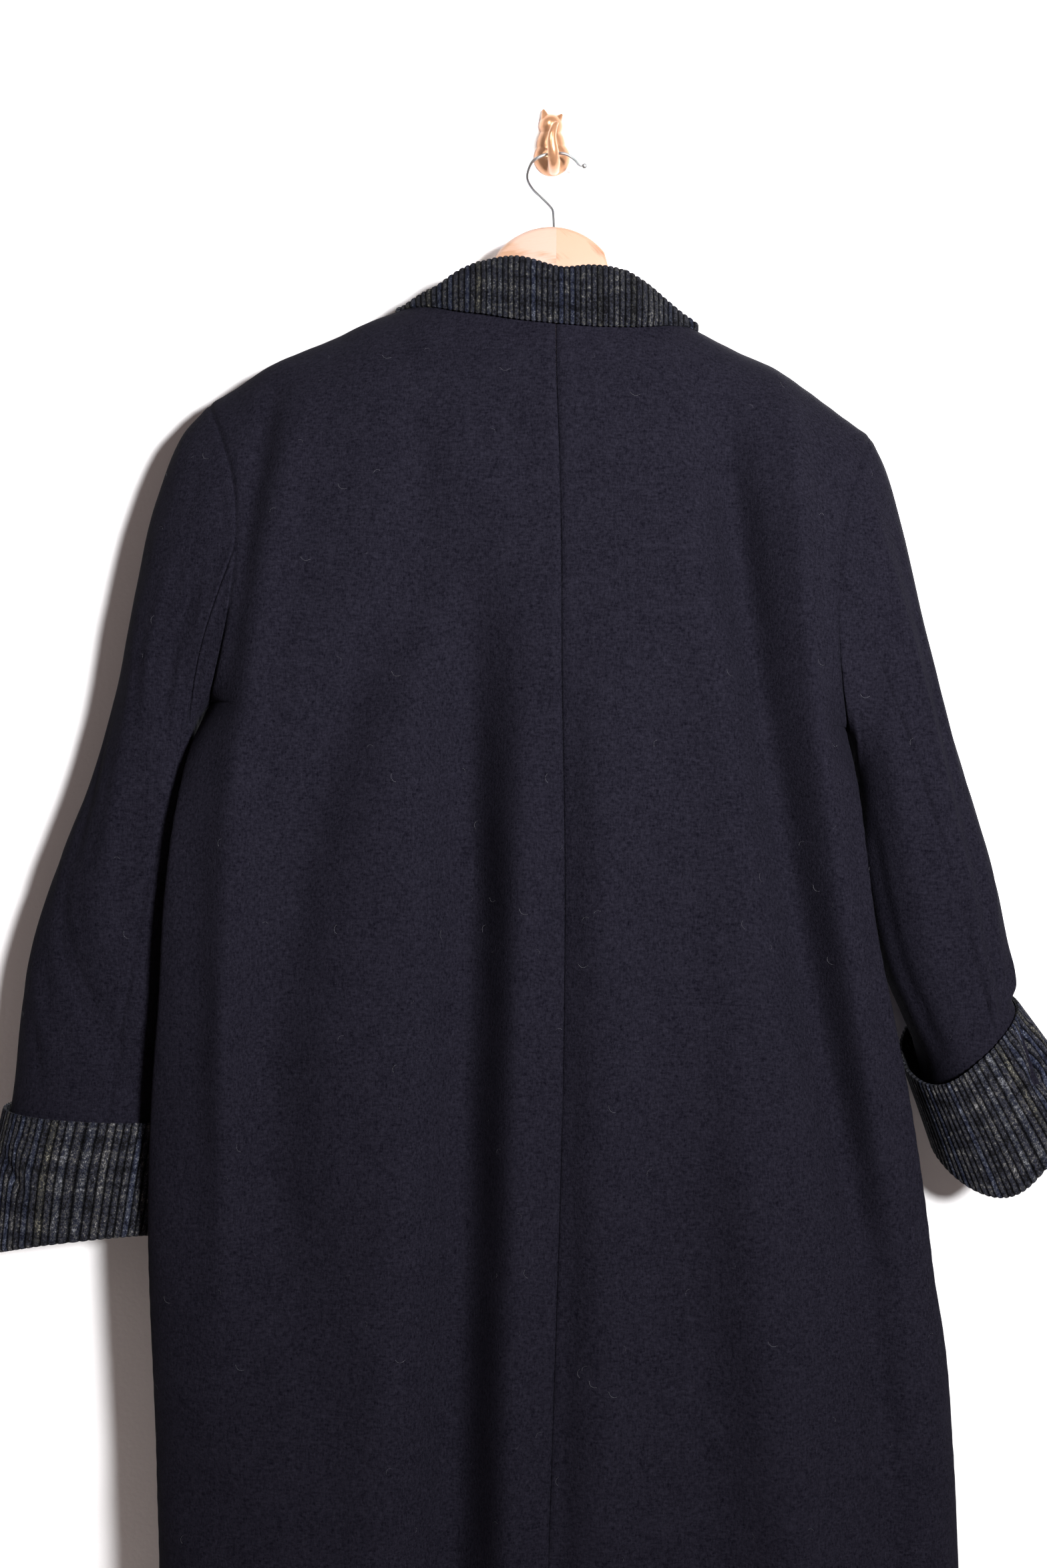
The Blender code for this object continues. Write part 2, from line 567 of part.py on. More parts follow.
def with_wrist(side):
    """The sleeve's table with its last rings inside the cuff's, and its end above the cuff's."""
    cuff, sleeve = CUFFS[side], SLEEVES[side]
    outer = np.stack([cuff["outer_x"], cuff["outer_down"]], axis=-1)
    inner = np.stack([cuff["inner_x"], cuff["inner_down"]], axis=-1)
    across = unit(outer - inner)
    along = np.stack([-across[:, 1], across[:, 0]], axis=-1)
    along = along * np.sign(along[:, 1:])
    rise = along * (cuff["share"] * WRIST_RISE)[:, None]
    outer = outer - across * cuff["inset"][:, None] - rise
    inner = inner + across * (cuff["inset"] + cuff["tuck"])[:, None] - rise
    hind, fore = WRIST_SEAMS[side]
    hidden = {
        "share": blend(CUFF_FROM[side], 1, cuff["share"]),
        "outer_x": outer[:, 0], "outer_down": outer[:, 1],
        "inner_x": inner[:, 0], "inner_down": inner[:, 1],
        "near": cuff["near"] + cuff["inset"], "far": cuff["far"] - cuff["inset"],
        "dip": cuff["dip"], "skew": cuff["skew"], "rise": cuff["rise"],
        "hind": blend(sleeve["hind"][-1], hind, cuff["share"]),
        "fore": blend(sleeve["fore"][-1], fore, cuff["share"]),
    }
    plain = np.zeros_like(sleeve["share"])
    open_part = {**sleeve, "skew": plain, "rise": plain}
    return {name: np.append(values, hidden[name]) for name, values in open_part.items()}


def ring_frame(columns, share):
    """Middle, half widths and directions of sleeve or cuff rings."""
    used = ("outer_x", "outer_down", "inner_x", "inner_down", "near", "far", "dip", "skew", "rise")
    value = {name: smooth(columns, "share", name, share) for name in used}
    outer = np.stack([value["outer_x"], np.zeros_like(share), -value["outer_down"]], axis=-1)
    inner = np.stack([value["inner_x"], np.zeros_like(share), -value["inner_down"]], axis=-1)
    across = unit(outer - inner)
    along = np.cross(across, np.array([0.0, 1.0, 0.0]))
    along = along * -np.sign(along[:, 2:3])
    middle = (outer + inner) / 2
    middle[..., 1] = (value["near"] + value["far"]) / 2
    return {
        "middle": middle,
        "half": np.linalg.norm(outer - inner, axis=-1) / 2,
        "deep": (value["far"] - value["near"]) / 2,
        "across": across,
        "along": along,
        "dip": value["dip"],
        "skew": value["skew"],
        "rise": value["rise"],
    }


def ring_points(columns, share, angle):
    """Points of rings at the given shares, at angles from their outer end towards the room."""
    frame = ring_frame(columns, share)
    cos, sin = np.cos(angle), np.sin(angle)
    wide = np.sign(cos) * np.abs(cos) ** RING_POWER * frame["half"][:, None]
    near = np.sign(sin) * np.abs(sin) ** RING_POWER * frame["deep"][:, None]
    points = frame["middle"][:, None, :] + frame["across"][:, None, :] * wide[..., None]
    room_side, wall_side = (1 + sin)**2 / 4, (1 - sin)**2 / 4
    hang = room_side * (frame["dip"][:, None] + 2 * frame["skew"][:, None] * cos)
    hang = hang - wall_side * frame["rise"][:, None]
    points = points + frame["along"][:, None, :] * hang[..., None]
    points[..., 1] -= near
    return points


def ring_normals(columns, share, angle):
    """Outward directions of the same rings."""
    frame = ring_frame(columns, share)
    wide = np.cos(angle) / frame["half"][:, None]
    near = np.sin(angle) / frame["deep"][:, None]
    normal = frame["across"][:, None, :] * wide[..., None]
    normal[..., 1] -= near
    return unit(normal)


def armhole_normals(side):
    """Outward directions round the armhole, tip first, by the back, then by the front."""
    angle = 2 * math.pi * np.arange(RING + 1) / RING
    return ring_normals(with_wrist(side), np.zeros(1), angle[None, :])[0]


def sleeve_points(side, share, angle):
    """Outer points of a sleeve: the armhole's own shape, fading into plain rings."""
    columns = with_wrist(side)
    points = ring_points(columns, share, angle)
    edge = edge_line(side)
    arm = slice(0, ARM_ROWS + 1)
    back = np.stack([edge["back_x"][arm], edge["back_y"][arm], -edge["down"][arm]], axis=-1)
    front = np.stack([edge["front_x"][arm], edge["front_y"][arm], -edge["down"][arm]], axis=-1)
    hole = np.concatenate([back, front[-2::-1]])
    even = 2 * math.pi * np.arange(RING + 1) / RING
    plain = ring_points(columns, np.zeros(1), even[None, :])[0]
    wrapped = np.mod(angle, 2 * math.pi)
    fade = np.clip(1 - share / ARMHOLE_REACH, 0, 1)[:, None] ** 2
    for axis in range(3):
        shift = np.interp(wrapped, even, hole[:, axis] - plain[:, axis])
        points[..., axis] += shift * fade
    return points


def sleeve_panel(side, part):
    """Outer and inner points of the top or under sleeve, rows from armhole to wrist."""
    columns = with_wrist(side)
    shown = np.linspace(0, 1, SLEEVE_ROWS + 1) ** ROW_POWER * CUFF_FROM[side]
    share = np.concatenate([shown, np.linspace(CUFF_FROM[side], 1, HIDDEN_ROWS + 1)[1:]])
    hind = smooth(columns, "share", "hind", share)
    fore = smooth(columns, "share", "fore", share)
    if part == "top":
        count = HIND_COLUMNS + FORE_COLUMNS
        start, stop = hind, fore - 1
    else:
        count = RING - HIND_COLUMNS - FORE_COLUMNS
        start, stop = hind, fore
    steps = np.linspace(0, 1, count + 1)
    angle = 2 * math.pi * (start[:, None] + steps * (stop - start)[:, None])
    outer = sleeve_points(side, share, angle)
    inner = outer - WOOL * ring_normals(columns, share, angle)
    across = unit(np.gradient(outer, axis=1))
    shift = np.zeros_like(outer)
    shift[:, 0] += across[:, 0] * SEAM_GAP / 2
    shift[:, -1] -= across[:, -1] * SEAM_GAP / 2
    below = np.maximum(-np.cos(angle[0]), 0) ** 2
    shift[0, :, 0] += SIDES[side]["sign"] * (SEAM_GAP / 2 + UNDERARM_EASE * below)
    return outer + shift, inner + shift


def cuff_walls(side):
    """Outer and inner points of a cuff: an outside wall with its bottom turned in."""
    columns = CUFFS[side]
    wales = CUFF_WALES[side]
    share = np.array(CUFF_ROWS)
    turned = np.arange(len(share)) == len(share) - 1
    angle = 2 * math.pi * np.arange(2 * wales) / (2 * wales)
    angle = np.broadcast_to(angle, (len(share), 2 * wales))
    normal = ring_normals(columns, share, angle)
    valley = ring_points(columns, share, angle) - normal * (turned * CUFF_TURN)[:, None, None]
    wale = np.where(np.arange(2 * wales) % 2 == 0, 1.0, 0.0) * WALE_HEIGHT
    outer = valley + normal * (wale * ~turned[:, None])[..., None]
    lift = np.where(share > 0.9, CORD_BACKING, 0.0)
    up = -ring_frame(columns, share)["along"] * lift[:, None]
    inner = valley - normal * CORD_BACKING + up[:, None, :]
    return outer, inner[:, ::INNER_STEP]


def finish_object(name, bm, material, collection):
    """Turns a closed mesh outwards and makes it one named object."""
    bmesh.ops.recalc_face_normals(bm, faces=bm.faces)
    mesh = bpy.data.meshes.new(name)
    bm.to_mesh(mesh)
    bm.free()
    mesh.shade_smooth()
    mesh.set_sharp_from_angle(angle=math.radians(40))
    mesh.materials.append(material)
    obj = bpy.data.objects.new(name, mesh)
    collection.objects.link(obj)
    return obj


def wall_object(name, outer, inner, material, collection, keep=None, closed=False):
    """A wall between a grid of outer points and a grid of inner points, which may be coarser.

    keep says which of the inner grid's cells are there.
    """
    rows, fine = outer.shape[:2]
    coarse = inner.shape[1]
    spans = coarse if closed else coarse - 1
    step = fine // coarse if closed else (fine - 1) // (coarse - 1)
    if keep is None:
        keep = np.ones((rows - 1, spans), bool)
    vertices = np.concatenate([outer.reshape(-1, 3), inner.reshape(-1, 3)])

    def out_at(row, column):
        return row * fine + column % fine

    def in_at(row, column):
        return rows * fine + row * coarse + column % coarse

    def kept(row, span):
        if closed:
            span %= spans
        return 0 <= row < rows - 1 and 0 <= span < spans and keep[row, span]

    def rim(row, span):
        columns = range(span * step, span * step + step + 1)
        return tuple(out_at(row, column) for column in columns) + (in_at(row, span + 1), in_at(row, span))

    def side_wall(row, span):
        column = span * step
        return out_at(row, column), out_at(row + 1, column), in_at(row + 1, span), in_at(row, span)

    faces = []
    for row, span in zip(*np.nonzero(keep)):
        for column in range(span * step, span * step + step):
            faces.append((out_at(row, column), out_at(row, column + 1),
                          out_at(row + 1, column + 1), out_at(row + 1, column)))
        faces.append((in_at(row, span), in_at(row + 1, span),
                      in_at(row + 1, span + 1), in_at(row, span + 1)))
        if not kept(row - 1, span):
            faces.append(rim(row, span))
        if not kept(row + 1, span):
            faces.append(rim(row + 1, span))
        if not kept(row, span - 1):
            faces.append(side_wall(row, span))
        if not kept(row, span + 1):
            faces.append(side_wall(row, span + 1))
    used = sorted({index for face in faces for index in face})
    renumber = {index: place for place, index in enumerate(used)}
    bm = bmesh.new()
    corners = [bm.verts.new(vertices[index]) for index in used]
    for face in faces:
        bm.faces.new([corners[renumber[index]] for index in face])
    return finish_object(name, bm, material, collection)


def panel_line(side, face, x):
    """Depths and downs of a panel's outer face above and below one x, from the top."""
    line = []
    for row in body_grid(side, face):
        row = row[np.argsort(row[:, 0])]
        line.append([np.interp(x, row[:, 0], row[:, axis]) for axis in (1, 2)])
    depth, height = np.array(line).T
    return depth, -height


def depth_on(face, x, down):
    """Depth of the outermost back or front panel at one place."""
    found = []
    for side, data in SIDES.items():
        past = (x - CENTRE["seam"][0]) * data["sign"]
        reach = OVERLAP_REACH if face == "front" and side == "right" else 0
        if past >= -reach:
            depth, downs = panel_line(side, face, x)
            found.append(np.interp(down, downs, depth))
    return max(found) if face == "front" else min(found)


def collar_grid():
    """Inner points of the collar's leaf and which of its coarse cells are there."""
    left, right = COLLAR_ENDS
    x = np.linspace(left, right, 2 * COLLAR_WALES + 1)
    value = {name: smooth(COLLAR, "x", name, x) for name in COLLAR if name != "x"}

    def lying(face, down, off):
        return np.array([depth_on(face, place, low) for place, low in zip(x, down)]) + off

    def points(depth, down):
        return np.stack([x, depth, -down], axis=-1)

    fore_down, front_down = value["fore_down"], value["front_down"]
    low_down = blend(fore_down, front_down, 0.5)
    edge = points(lying("back", value["edge_down"], -LEAF_LIFT), value["edge_down"])
    roll = points(value["roll"], value["roll_down"])
    top = points(value["top"], value["top_down"])
    fore = points(value["fore"], fore_down)
    front = points(lying("front", front_down, LIE_GAP), front_down)
    fore_low = points(np.maximum(lying("front", low_down, LIE_GAP), value["fore"]), low_down)
    swell = np.array([0, -LEAF_SWELL, 0]) * ease(0, 0.03, fore_down - value["top_down"])[:, None]
    lower = blend(edge, roll, 0.30) + swell
    upper = blend(edge, roll, 0.65) + swell
    grid = np.stack([edge, lower, upper, roll, blend(roll, top, 0.5), top, fore, fore_low, front])
    coarse = x[::INNER_STEP]
    middle = (coarse[:-1] + coarse[1:]) / 2
    keep = np.ones((len(grid) - 1, len(middle)), bool)
    keep[ROLL_ROW:FORE_ROW, np.abs(middle) < NECK_SIDE] = False
    keep[ROLL_ROW:, np.abs(middle - CENTRE["seam"][0]) < COLLAR_SLIT] = False
    return grid, keep


def collar_leaf(material, collection):
    grid, keep = collar_grid()
    normal = grid_normals(grid, np.array([0, 0, 1.0]))
    wale = np.where(np.arange(grid.shape[1]) % 2 == 0, 1.0, 0.0) * WALE_HEIGHT
    outer = grid + normal * (CORD_BACKING + wale)[None, :, None]
    return wall_object("collar", outer, grid[:, ::INNER_STEP], material, collection, keep=keep)


def even_steps(path, count):
    """Points spread evenly along a bent line."""
    path = np.array(path)
    length = np.concatenate([[0], np.cumsum(np.linalg.norm(np.diff(path, axis=0), axis=1))])
    at = np.linspace(0, length[-1], count + 1)
    return np.stack([np.interp(at, length, path[:, axis]) for axis in range(3)], axis=-1)


def stand_top():
    """Three stretches of the leaf's opening: left front, back and right front."""
    grid, keep = collar_grid()
    grid = grid[:, ::INNER_STEP]
    open_back = np.flatnonzero(~keep[ROLL_ROW])
    open_front = np.flatnonzero(~keep[FORE_ROW])
    first, last = open_back[0], open_back[-1] + 1
    slit = (open_front[0], open_front[-1] + 1)
    left = [grid[FORE_ROW, column] for column in range(slit[0], first, -1)]
    left += [grid[row, first] for row in (FORE_ROW, TOP_ROW)]
    back = [grid[row, first] for row in (TOP_ROW, TOP_ROW - 1)]
    back += [grid[ROLL_ROW, column] for column in range(first, last + 1)]
    back += [grid[row, last] for row in (TOP_ROW - 1, TOP_ROW)]
    right = [grid[row, last] for row in (TOP_ROW, FORE_ROW)]
    right += [grid[FORE_ROW, column] for column in range(last - 1, slit[1] - 1, -1)]
    return left, back, right


def stand_bottom():
    """The same stretches of the trunk's neckline."""
    neck = {}
    for side, data in SIDES.items():
        count = SHARES.index(NECK_SHARE) + 1
        neck["back", side] = body_grid(side, "back")[0, :count]
        front = body_grid(side, "front")[0, :FRONT_SHARES.index(NECK_SHARE) + 1]
        start = CENTRE["seam"][0] + data["sign"] * STAND_SLIT
        beyond = front[(front[:, 0] - start) * data["sign"] > 0]
        order = np.argsort(front[:, 0])
        height = np.interp(start, front[order, 0], front[order, 2])
        depth = np.interp(start, front[order, 0], front[order, 1])
        neck["front", side] = np.vstack([[start, depth, height], beyond])
    back = np.vstack([neck["back", "left"][::-1], neck["back", "right"][1:]])
    return neck["front", "left"], back, neck["front", "right"][::-1]


def collar_stand(material, collection):
    """Band between the neckline and the leaf's opening, open at the front."""
    tops, bottoms = [], []
    for top, bottom, count in zip(stand_top(), stand_bottom(), STAND_SPANS):
        tops.append(even_steps(top, count)[bool(tops):])
        bottoms.append(even_steps(bottom, count)[bool(bottoms):])
    top, bottom = np.concatenate(tops), np.concatenate(bottoms)
    axis = np.array([NECK_AXIS[0], NECK_AXIS[1], 0])

    def inward(points):
        flat = (axis - points) * (1, 1, 0)
        return unit(flat)

    top = top + inward(top) * STAND_CLEAR - (0, 0, SEAM_GAP)
    bottom = bottom + (0, 0, SEAM_GAP + STAND_RISE)
    outer = np.stack([top, blend(top, bottom, 0.5), bottom])
    inner = outer + inward(outer) * STAND_WALL
    return wall_object("collar_stand", outer, inner, material, collection)


def hanger_line(side, out):
    """Upper and lower downs of a hanger arm at distances out from the hump's middle."""
    sign = SIDES[side]["sign"]
    x = HUMP_X + sign * out
    shoulder = smooth(TOP_LINE, "x", "down", x) + ARM_CLEAR
    dome = HUMP_DOWN - np.sqrt(np.maximum(HUMP_RADIUS**2 - out**2, 0))
    meet = smooth(TOP_LINE, "x", "down", HUMP_X + sign * NECK_OUT) + ARM_CLEAR
    edge = HUMP_DOWN - math.sqrt(HUMP_RADIUS**2 - HUMP_OUT**2)
    slope = blend(edge, meet, np.sqrt(np.clip((out - HUMP_OUT) / (NECK_OUT - HUMP_OUT), 0, 1)))
    upper = np.where(out < HUMP_OUT, dome, np.where(out < NECK_OUT, slope, shoulder))
    end = (ARM_ENDS[side] - HUMP_X) * sign
    middle_low = HUMP_DOWN - HUMP_RADIUS + ARM_DEEP["middle"]
    outer_low = shoulder + blend(ARM_DEEP["neck"], ARM_DEEP["end"], np.clip(out / end, 0, 1))
    neck_low = meet + ARM_DEEP["neck"]
    lower = np.where(out < NECK_OUT, blend(middle_low, neck_low, ease(0, NECK_OUT, out)), outer_low)
    return x, upper, lower, end


def hanger_arm(side, material, collection):
    """One wooden half of the hanger: a flat outline with its long edges rounded."""
    sign = SIDES[side]["sign"]
    end = hanger_line(side, np.zeros(1))[3]
    joint = JOINT_X + sign * SEAM_GAP / 2
    first = (joint - HUMP_X) * sign
    steps = HUMP_STEPS[HUMP_STEPS > first + SEAM_GAP]
    arm = np.linspace(NECK_OUT, end - ARM_DEEP["end"] / 2, ARM_STEPS)
    x, upper, lower, _ = hanger_line(side, np.concatenate([[first], steps, arm]))
    radius = (lower[-1] - upper[-1]) / 2
    round_angle = np.pi * np.arange(1, 5) / 5
    tip_x = x[-1] + sign * radius * np.sin(round_angle)
    tip_down = (upper[-1] + lower[-1]) / 2 - radius * np.cos(round_angle)
    outline = list(zip(x, upper)) + list(zip(tip_x, tip_down)) + list(zip(x[::-1], lower[::-1]))
    bm = bmesh.new()
    near = HANGER_Y - HANGER_THICK / 2
    corners = [bm.verts.new((place, near, -down)) for place, down in outline]
    face = bm.faces.new(corners)
    turned = bmesh.ops.extrude_face_region(bm, geom=[face])
    moved = [item for item in turned["geom"] if isinstance(item, bmesh.types.BMVert)]
    bmesh.ops.translate(bm, vec=(0, HANGER_THICK, 0), verts=moved)
    bmesh.ops.recalc_face_normals(bm, faces=bm.faces)

    def at_joint(edge):
        return all(abs(vert.co.x - joint) < SEAM_GAP / 4 for vert in edge.verts)

    long_edges = [edge for edge in bm.edges
                  if abs(edge.verts[0].co.y - edge.verts[1].co.y) < SEAM_GAP and not at_joint(edge)]
    bmesh.ops.bevel(bm, geom=long_edges, offset=ARM_ROUND, segments=2, profile=0.5,
                    affect="EDGES", clamp_overlap=True)
    return finish_object(f"hanger_arm_{side}", bm, material, collection)


def route_points(route, steps):
    """Smooth curve through the points of a route, with a few steps from one to the next."""
    route = np.array(route, float)
    padded = np.vstack([2 * route[0] - route[1], route, 2 * route[-1] - route[-2]])
    points = []
    for p0, p1, p2, p3 in zip(padded, padded[1:], padded[2:], padded[3:]):
        for t in np.arange(steps) / steps:
            points.append(0.5 * (2 * p1 + (p2 - p0) * t + (2 * p0 - 5 * p1 + 4 * p2 - p3) * t**2
                                 + (3 * p1 - p0 - 3 * p2 + p3) * t**3))
    points.append(route[-1])
    return np.array(points)


def round_bar(name, points, radii, material, collection):
    """A bar with round section along points, as a closed mesh."""
    curve = bpy.data.curves.new(name, "CURVE")
    curve.dimensions = "3D"
    curve.bevel_depth = 1.0
    curve.bevel_resolution = 2
    curve.use_fill_caps = True
    spline = curve.splines.new("POLY")
    spline.points.add(len(points) - 1)
    for point, place, radius in zip(spline.points, points, radii):
        point.co = (*place, 1.0)
        point.radius = radius
    guide = bpy.data.objects.new(name + "_guide", curve)
    collection.objects.link(guide)
    graph = bpy.context.evaluated_depsgraph_get()
    mesh = bpy.data.meshes.new_from_object(guide.evaluated_get(graph))
    bm = bmesh.new()
    bm.from_mesh(mesh)
    bmesh.ops.remove_doubles(bm, verts=bm.verts, dist=1e-5)
    bpy.data.objects.remove(guide, do_unlink=True)
    bpy.data.meshes.remove(mesh)
    return finish_object(name, bm, material, collection)


def ellipsoid(name, centre, radii, material, collection):
    bm = bmesh.new()
    place = Matrix.Translation(centre) @ Matrix.Diagonal((*radii, 1.0))
    bmesh.ops.create_uvsphere(bm, u_segments=20, v_segments=10, radius=1.0, matrix=place)
    return finish_object(name, bm, material, collection)


def join_to(obj, others, operation="UNION"):
    """Boolean modifiers that join others to an object, which stay as hidden guides."""
    for other in others:
        other.hide_render = True
        other.display_type = "WIRE"
        modifier = obj.modifiers.new(f"{operation.lower()} {other.name}", "BOOLEAN")
        modifier.operation = operation
        modifier.solver = "EXACT"
        modifier.object = other


def wall_hook(material, parts, cutters):
    """Cat seen from behind, flat at the back, its tail the prong that carries the hanger."""
    cat = ellipsoid("wall_hook", CAT_BODY[0], CAT_BODY[1], material, parts)
    pieces = [
        ellipsoid("cat_shoulders", *CAT_SHOULDERS, material, cutters),
        ellipsoid("cat_head", *CAT_HEAD, material, cutters),
    ]
    for number, (foot, tip) in enumerate(CAT_EARS):
        points = np.array([foot, tip])
        pieces.append(round_bar(f"cat_ear_{number}", points, (EAR_RADIUS, EAR_TIP), material, cutters))
    tail = route_points(CAT_TAIL, TAIL_STEPS)
    radii = np.interp(np.arange(len(tail)) / (len(tail) - 1), *TAIL_TAPER)
    pieces.append(round_bar("cat_tail", tail, radii, material, cutters))
    join_to(cat, pieces)
    bm = bmesh.new()
    bmesh.ops.create_cube(bm, size=CAT_CUT)
    bmesh.ops.translate(bm, vec=(0, CAT_CUT / 2, 0), verts=bm.verts)
    join_to(cat, [finish_object("wall_cut", bm, material, cutters)], "DIFFERENCE")
    return cat


def hanger_hook(material, parts, cutters):
    """Bent wire with a small ball at its free end."""
    wire = route_points(WIRE_ROUTE, WIRE_STEPS)
    hook = round_bar("hanger_hook", wire, [WIRE_RADIUS] * len(wire), material, parts)
    ball = ellipsoid("wire_ball", WIRE_ROUTE[-1], [WIRE_BALL] * 3, material, cutters)
    join_to(hook, [ball])
    return hook


def button(number, material, collection):
    """Plain disc that lies on the outer face of the right front, under the collar."""
    down = BUTTON_FIRST + number * BUTTON_STEP
    centre = float(smooth(CENTRE, "down", "seam", down))
    around = 2 * math.pi * np.arange(8) / 8
    touch = max(depth_on("front", centre + BUTTON_RADIUS * math.cos(angle),
                         down + BUTTON_RADIUS * math.sin(angle)) for angle in around)
    middle = touch + SEAM_GAP + BUTTON_THICK / 2
    bm = bmesh.new()
    place = Matrix.Translation((centre, middle, -down)) @ Matrix.Rotation(math.pi / 2, 4, "X")
    bmesh.ops.create_cone(bm, cap_ends=True, segments=20, radius1=BUTTON_RADIUS,
                          radius2=BUTTON_RADIUS, depth=BUTTON_THICK, matrix=place)
    rims = [edge for edge in bm.edges
            if edge.calc_face_angle() > 1 and abs(edge.verts[0].co.y - edge.verts[1].co.y) < SEAM_GAP]
    bmesh.ops.bevel(bm, geom=rims, offset=BUTTON_ROUND, segments=1, profile=0.5, affect="EDGES")
    return finish_object(f"button_{number + 1}", bm, material, collection)


def make_material(name, colour, roughness, metallic=0.0):
    material = bpy.data.materials.new(name)
    material.use_nodes = True
    shader = material.node_tree.nodes["Principled BSDF"]
    shader.inputs["Base Color"].default_value = (*colour, 1.0)
    shader.inputs["Roughness"].default_value = roughness
    shader.inputs["Metallic"].default_value = metallic
    material.diffuse_color = (*colour, 1.0)
    return material


def make_collection(name):
    collection = bpy.data.collections.new(name)
    bpy.context.scene.collection.children.link(collection)
    return collection


def main():
    for obj in list(bpy.data.objects):
        bpy.data.objects.remove(obj, do_unlink=True)
    parts = make_collection("wool_coat_on_wall_hook")
    cutters = make_collection("cutters")
    for side in SIDES:
        for face in ("back", "front"):
            name = f"{face}_{side}"
            wall_object(name, *body_panel(side, face), make_material(name, WOOL_NAVY, 0.9), parts)
        for part in ("top", "under"):
            name = f"sleeve_{part}_{side}"
            wall_object(name, *sleeve_panel(side, part), make_material(name, WOOL_NAVY, 0.9), parts)
        name = f"cuff_{side}"
        wall_object(name, *cuff_walls(side), make_material(name, CORD_GREY, 0.85), parts, closed=True)
        hanger_arm(side, make_material(f"hanger_arm_{side}", BEECH, 0.45), parts)
    collar_leaf(make_material("collar", CORD_GREY, 0.85), parts)
    collar_stand(make_material("collar_stand", CORD_GREY, 0.85), parts)
    hanger_hook(make_material("hanger_hook", CHROME, 0.15, 1.0), parts, cutters)
    wall_hook(make_material("wall_hook", COPPER, 0.3, 1.0), parts, cutters)
    for number in range(BUTTONS):
        button(number, make_material(f"button_{number + 1}", HORN, 0.4), parts)


main()
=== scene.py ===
"""Looks of a long wool coat on a wooden hanger and a wall hook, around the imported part.

Metres, +Z up. The wall is the plane y = 0 and the room is on its -Y side. The origin is the middle
of the wall hook's flat back. Heights are kept as "down", the distance below the origin. The cloth
pieces follow the same short tables as the part's solids, with more folds and finer steps.
"""

import functools
import itertools
import math

import bmesh
import bpy
import numpy as np
from mathutils import Matrix, Vector


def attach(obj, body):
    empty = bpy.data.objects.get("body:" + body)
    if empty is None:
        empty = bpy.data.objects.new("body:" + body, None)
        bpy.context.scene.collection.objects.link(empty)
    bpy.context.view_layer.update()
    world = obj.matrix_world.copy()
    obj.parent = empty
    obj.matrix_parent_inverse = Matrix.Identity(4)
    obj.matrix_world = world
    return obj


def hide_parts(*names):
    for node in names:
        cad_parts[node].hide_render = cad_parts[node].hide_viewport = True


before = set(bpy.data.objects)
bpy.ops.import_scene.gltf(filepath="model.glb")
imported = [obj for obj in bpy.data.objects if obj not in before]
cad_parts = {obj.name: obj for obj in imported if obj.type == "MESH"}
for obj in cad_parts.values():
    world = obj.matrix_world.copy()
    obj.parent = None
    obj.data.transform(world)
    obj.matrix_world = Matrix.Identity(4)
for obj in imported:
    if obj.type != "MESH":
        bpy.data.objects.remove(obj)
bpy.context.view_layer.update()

# Cloth and seams
WOOL = 0.0030               # wall of the melton wool
CORD_BACKING = 0.0020       # plain wall under the corduroy wales
WALE_HEIGHT = 0.0011        # how far a wale stands up
WALE_STEPS = 6              # columns across one wale
WALE_FULL = 0.6             # power of a wale's round section, fuller below 1
SEAM_GAP = 0.00004          # between two sewn pieces
SEAM_DEEP = 0.0011          # how far the cloth dips into a seam
SEAM_WIDE = 0.0022          # how far from the seam it starts to
SEAM_PAD = 0.0004           # the seam allowance's swelling beside it
PAD_AWAY = 3.0              # how far off the swelling lies, in widths of the dip
PAD_WIDE = 1.6              # and how wide it is
PUCKER = 0.019              # length of one pucker along a seam
PUCKER_HIGH = 0.5           # its height, as a share of the swelling
PUCKER_WIDE = 4.0           # and how far from the seam it reaches, in widths of the dip
PUCKER_DRIFT = (1.3, 2.7)   # how far its length wanders, and over how many puckers
LIE_GAP = 0.0030            # between the collar's leaf and the fronts it lies on

# Main places, x or y in metres
SHOULDER_Y = -0.042         # middle of the shoulder, where the hanger's arms lie
NECK_SHARE = 0.31           # neck point, as a share of the way from centre seam to shoulder tip
NECK_DROP_BACK = 0.035      # neckline below the bridged top line at the centre back
NECK_DROP_FRONT = 0.100     # and at the centre front
CENTRE_UNDER = 0.465        # down of the underarm row at the centre seam
HEM = {"centre": 1.335, "left": 1.325, "right": 1.345}
OVERLAP = 0.14              # how far a front passes the centre, as a share of a half width
OVERLAP_REACH = 0.040       # and how far out it still lifts what lies on both
OVERLAP_LIFT = 0.0042       # how far the outer front stands off the inner one
ROUND_BACK = 0.060          # how fast the back rounds over the shoulder
ROUND_FRONT = 0.045         # how fast the fronts round over the shoulder
SIDE_ROUND = 0.009          # rounding of the fronts into the side seam


def table(names, *rows):
    """The columns of a short table, by name."""
    return {name: np.array([row[i] for row in rows], float)
            for i, name in enumerate(names.split())}


# Top line of the coat from shoulder tip to shoulder tip, bridged over the neck opening.
TOP_LINE = table(
    "x down",
    (-0.2702, 0.2199),
    (-0.2503, 0.2078),
    (-0.2241, 0.1905),
    (-0.1952, 0.1774),
    (-0.1716, 0.1679),
    (-0.1481, 0.1564),
    (-0.1150, 0.1440),
    (-0.0815, 0.1310),
    (-0.0400, 0.1175),
    (0.0000, 0.1130),
    (0.0400, 0.1240),
    (0.0794, 0.1430),
    (0.1178, 0.1640),
    (0.1483, 0.1795),
    (0.1745, 0.1910),
    (0.2007, 0.2089),
    (0.2269, 0.2283),
    (0.2510, 0.2456),
)

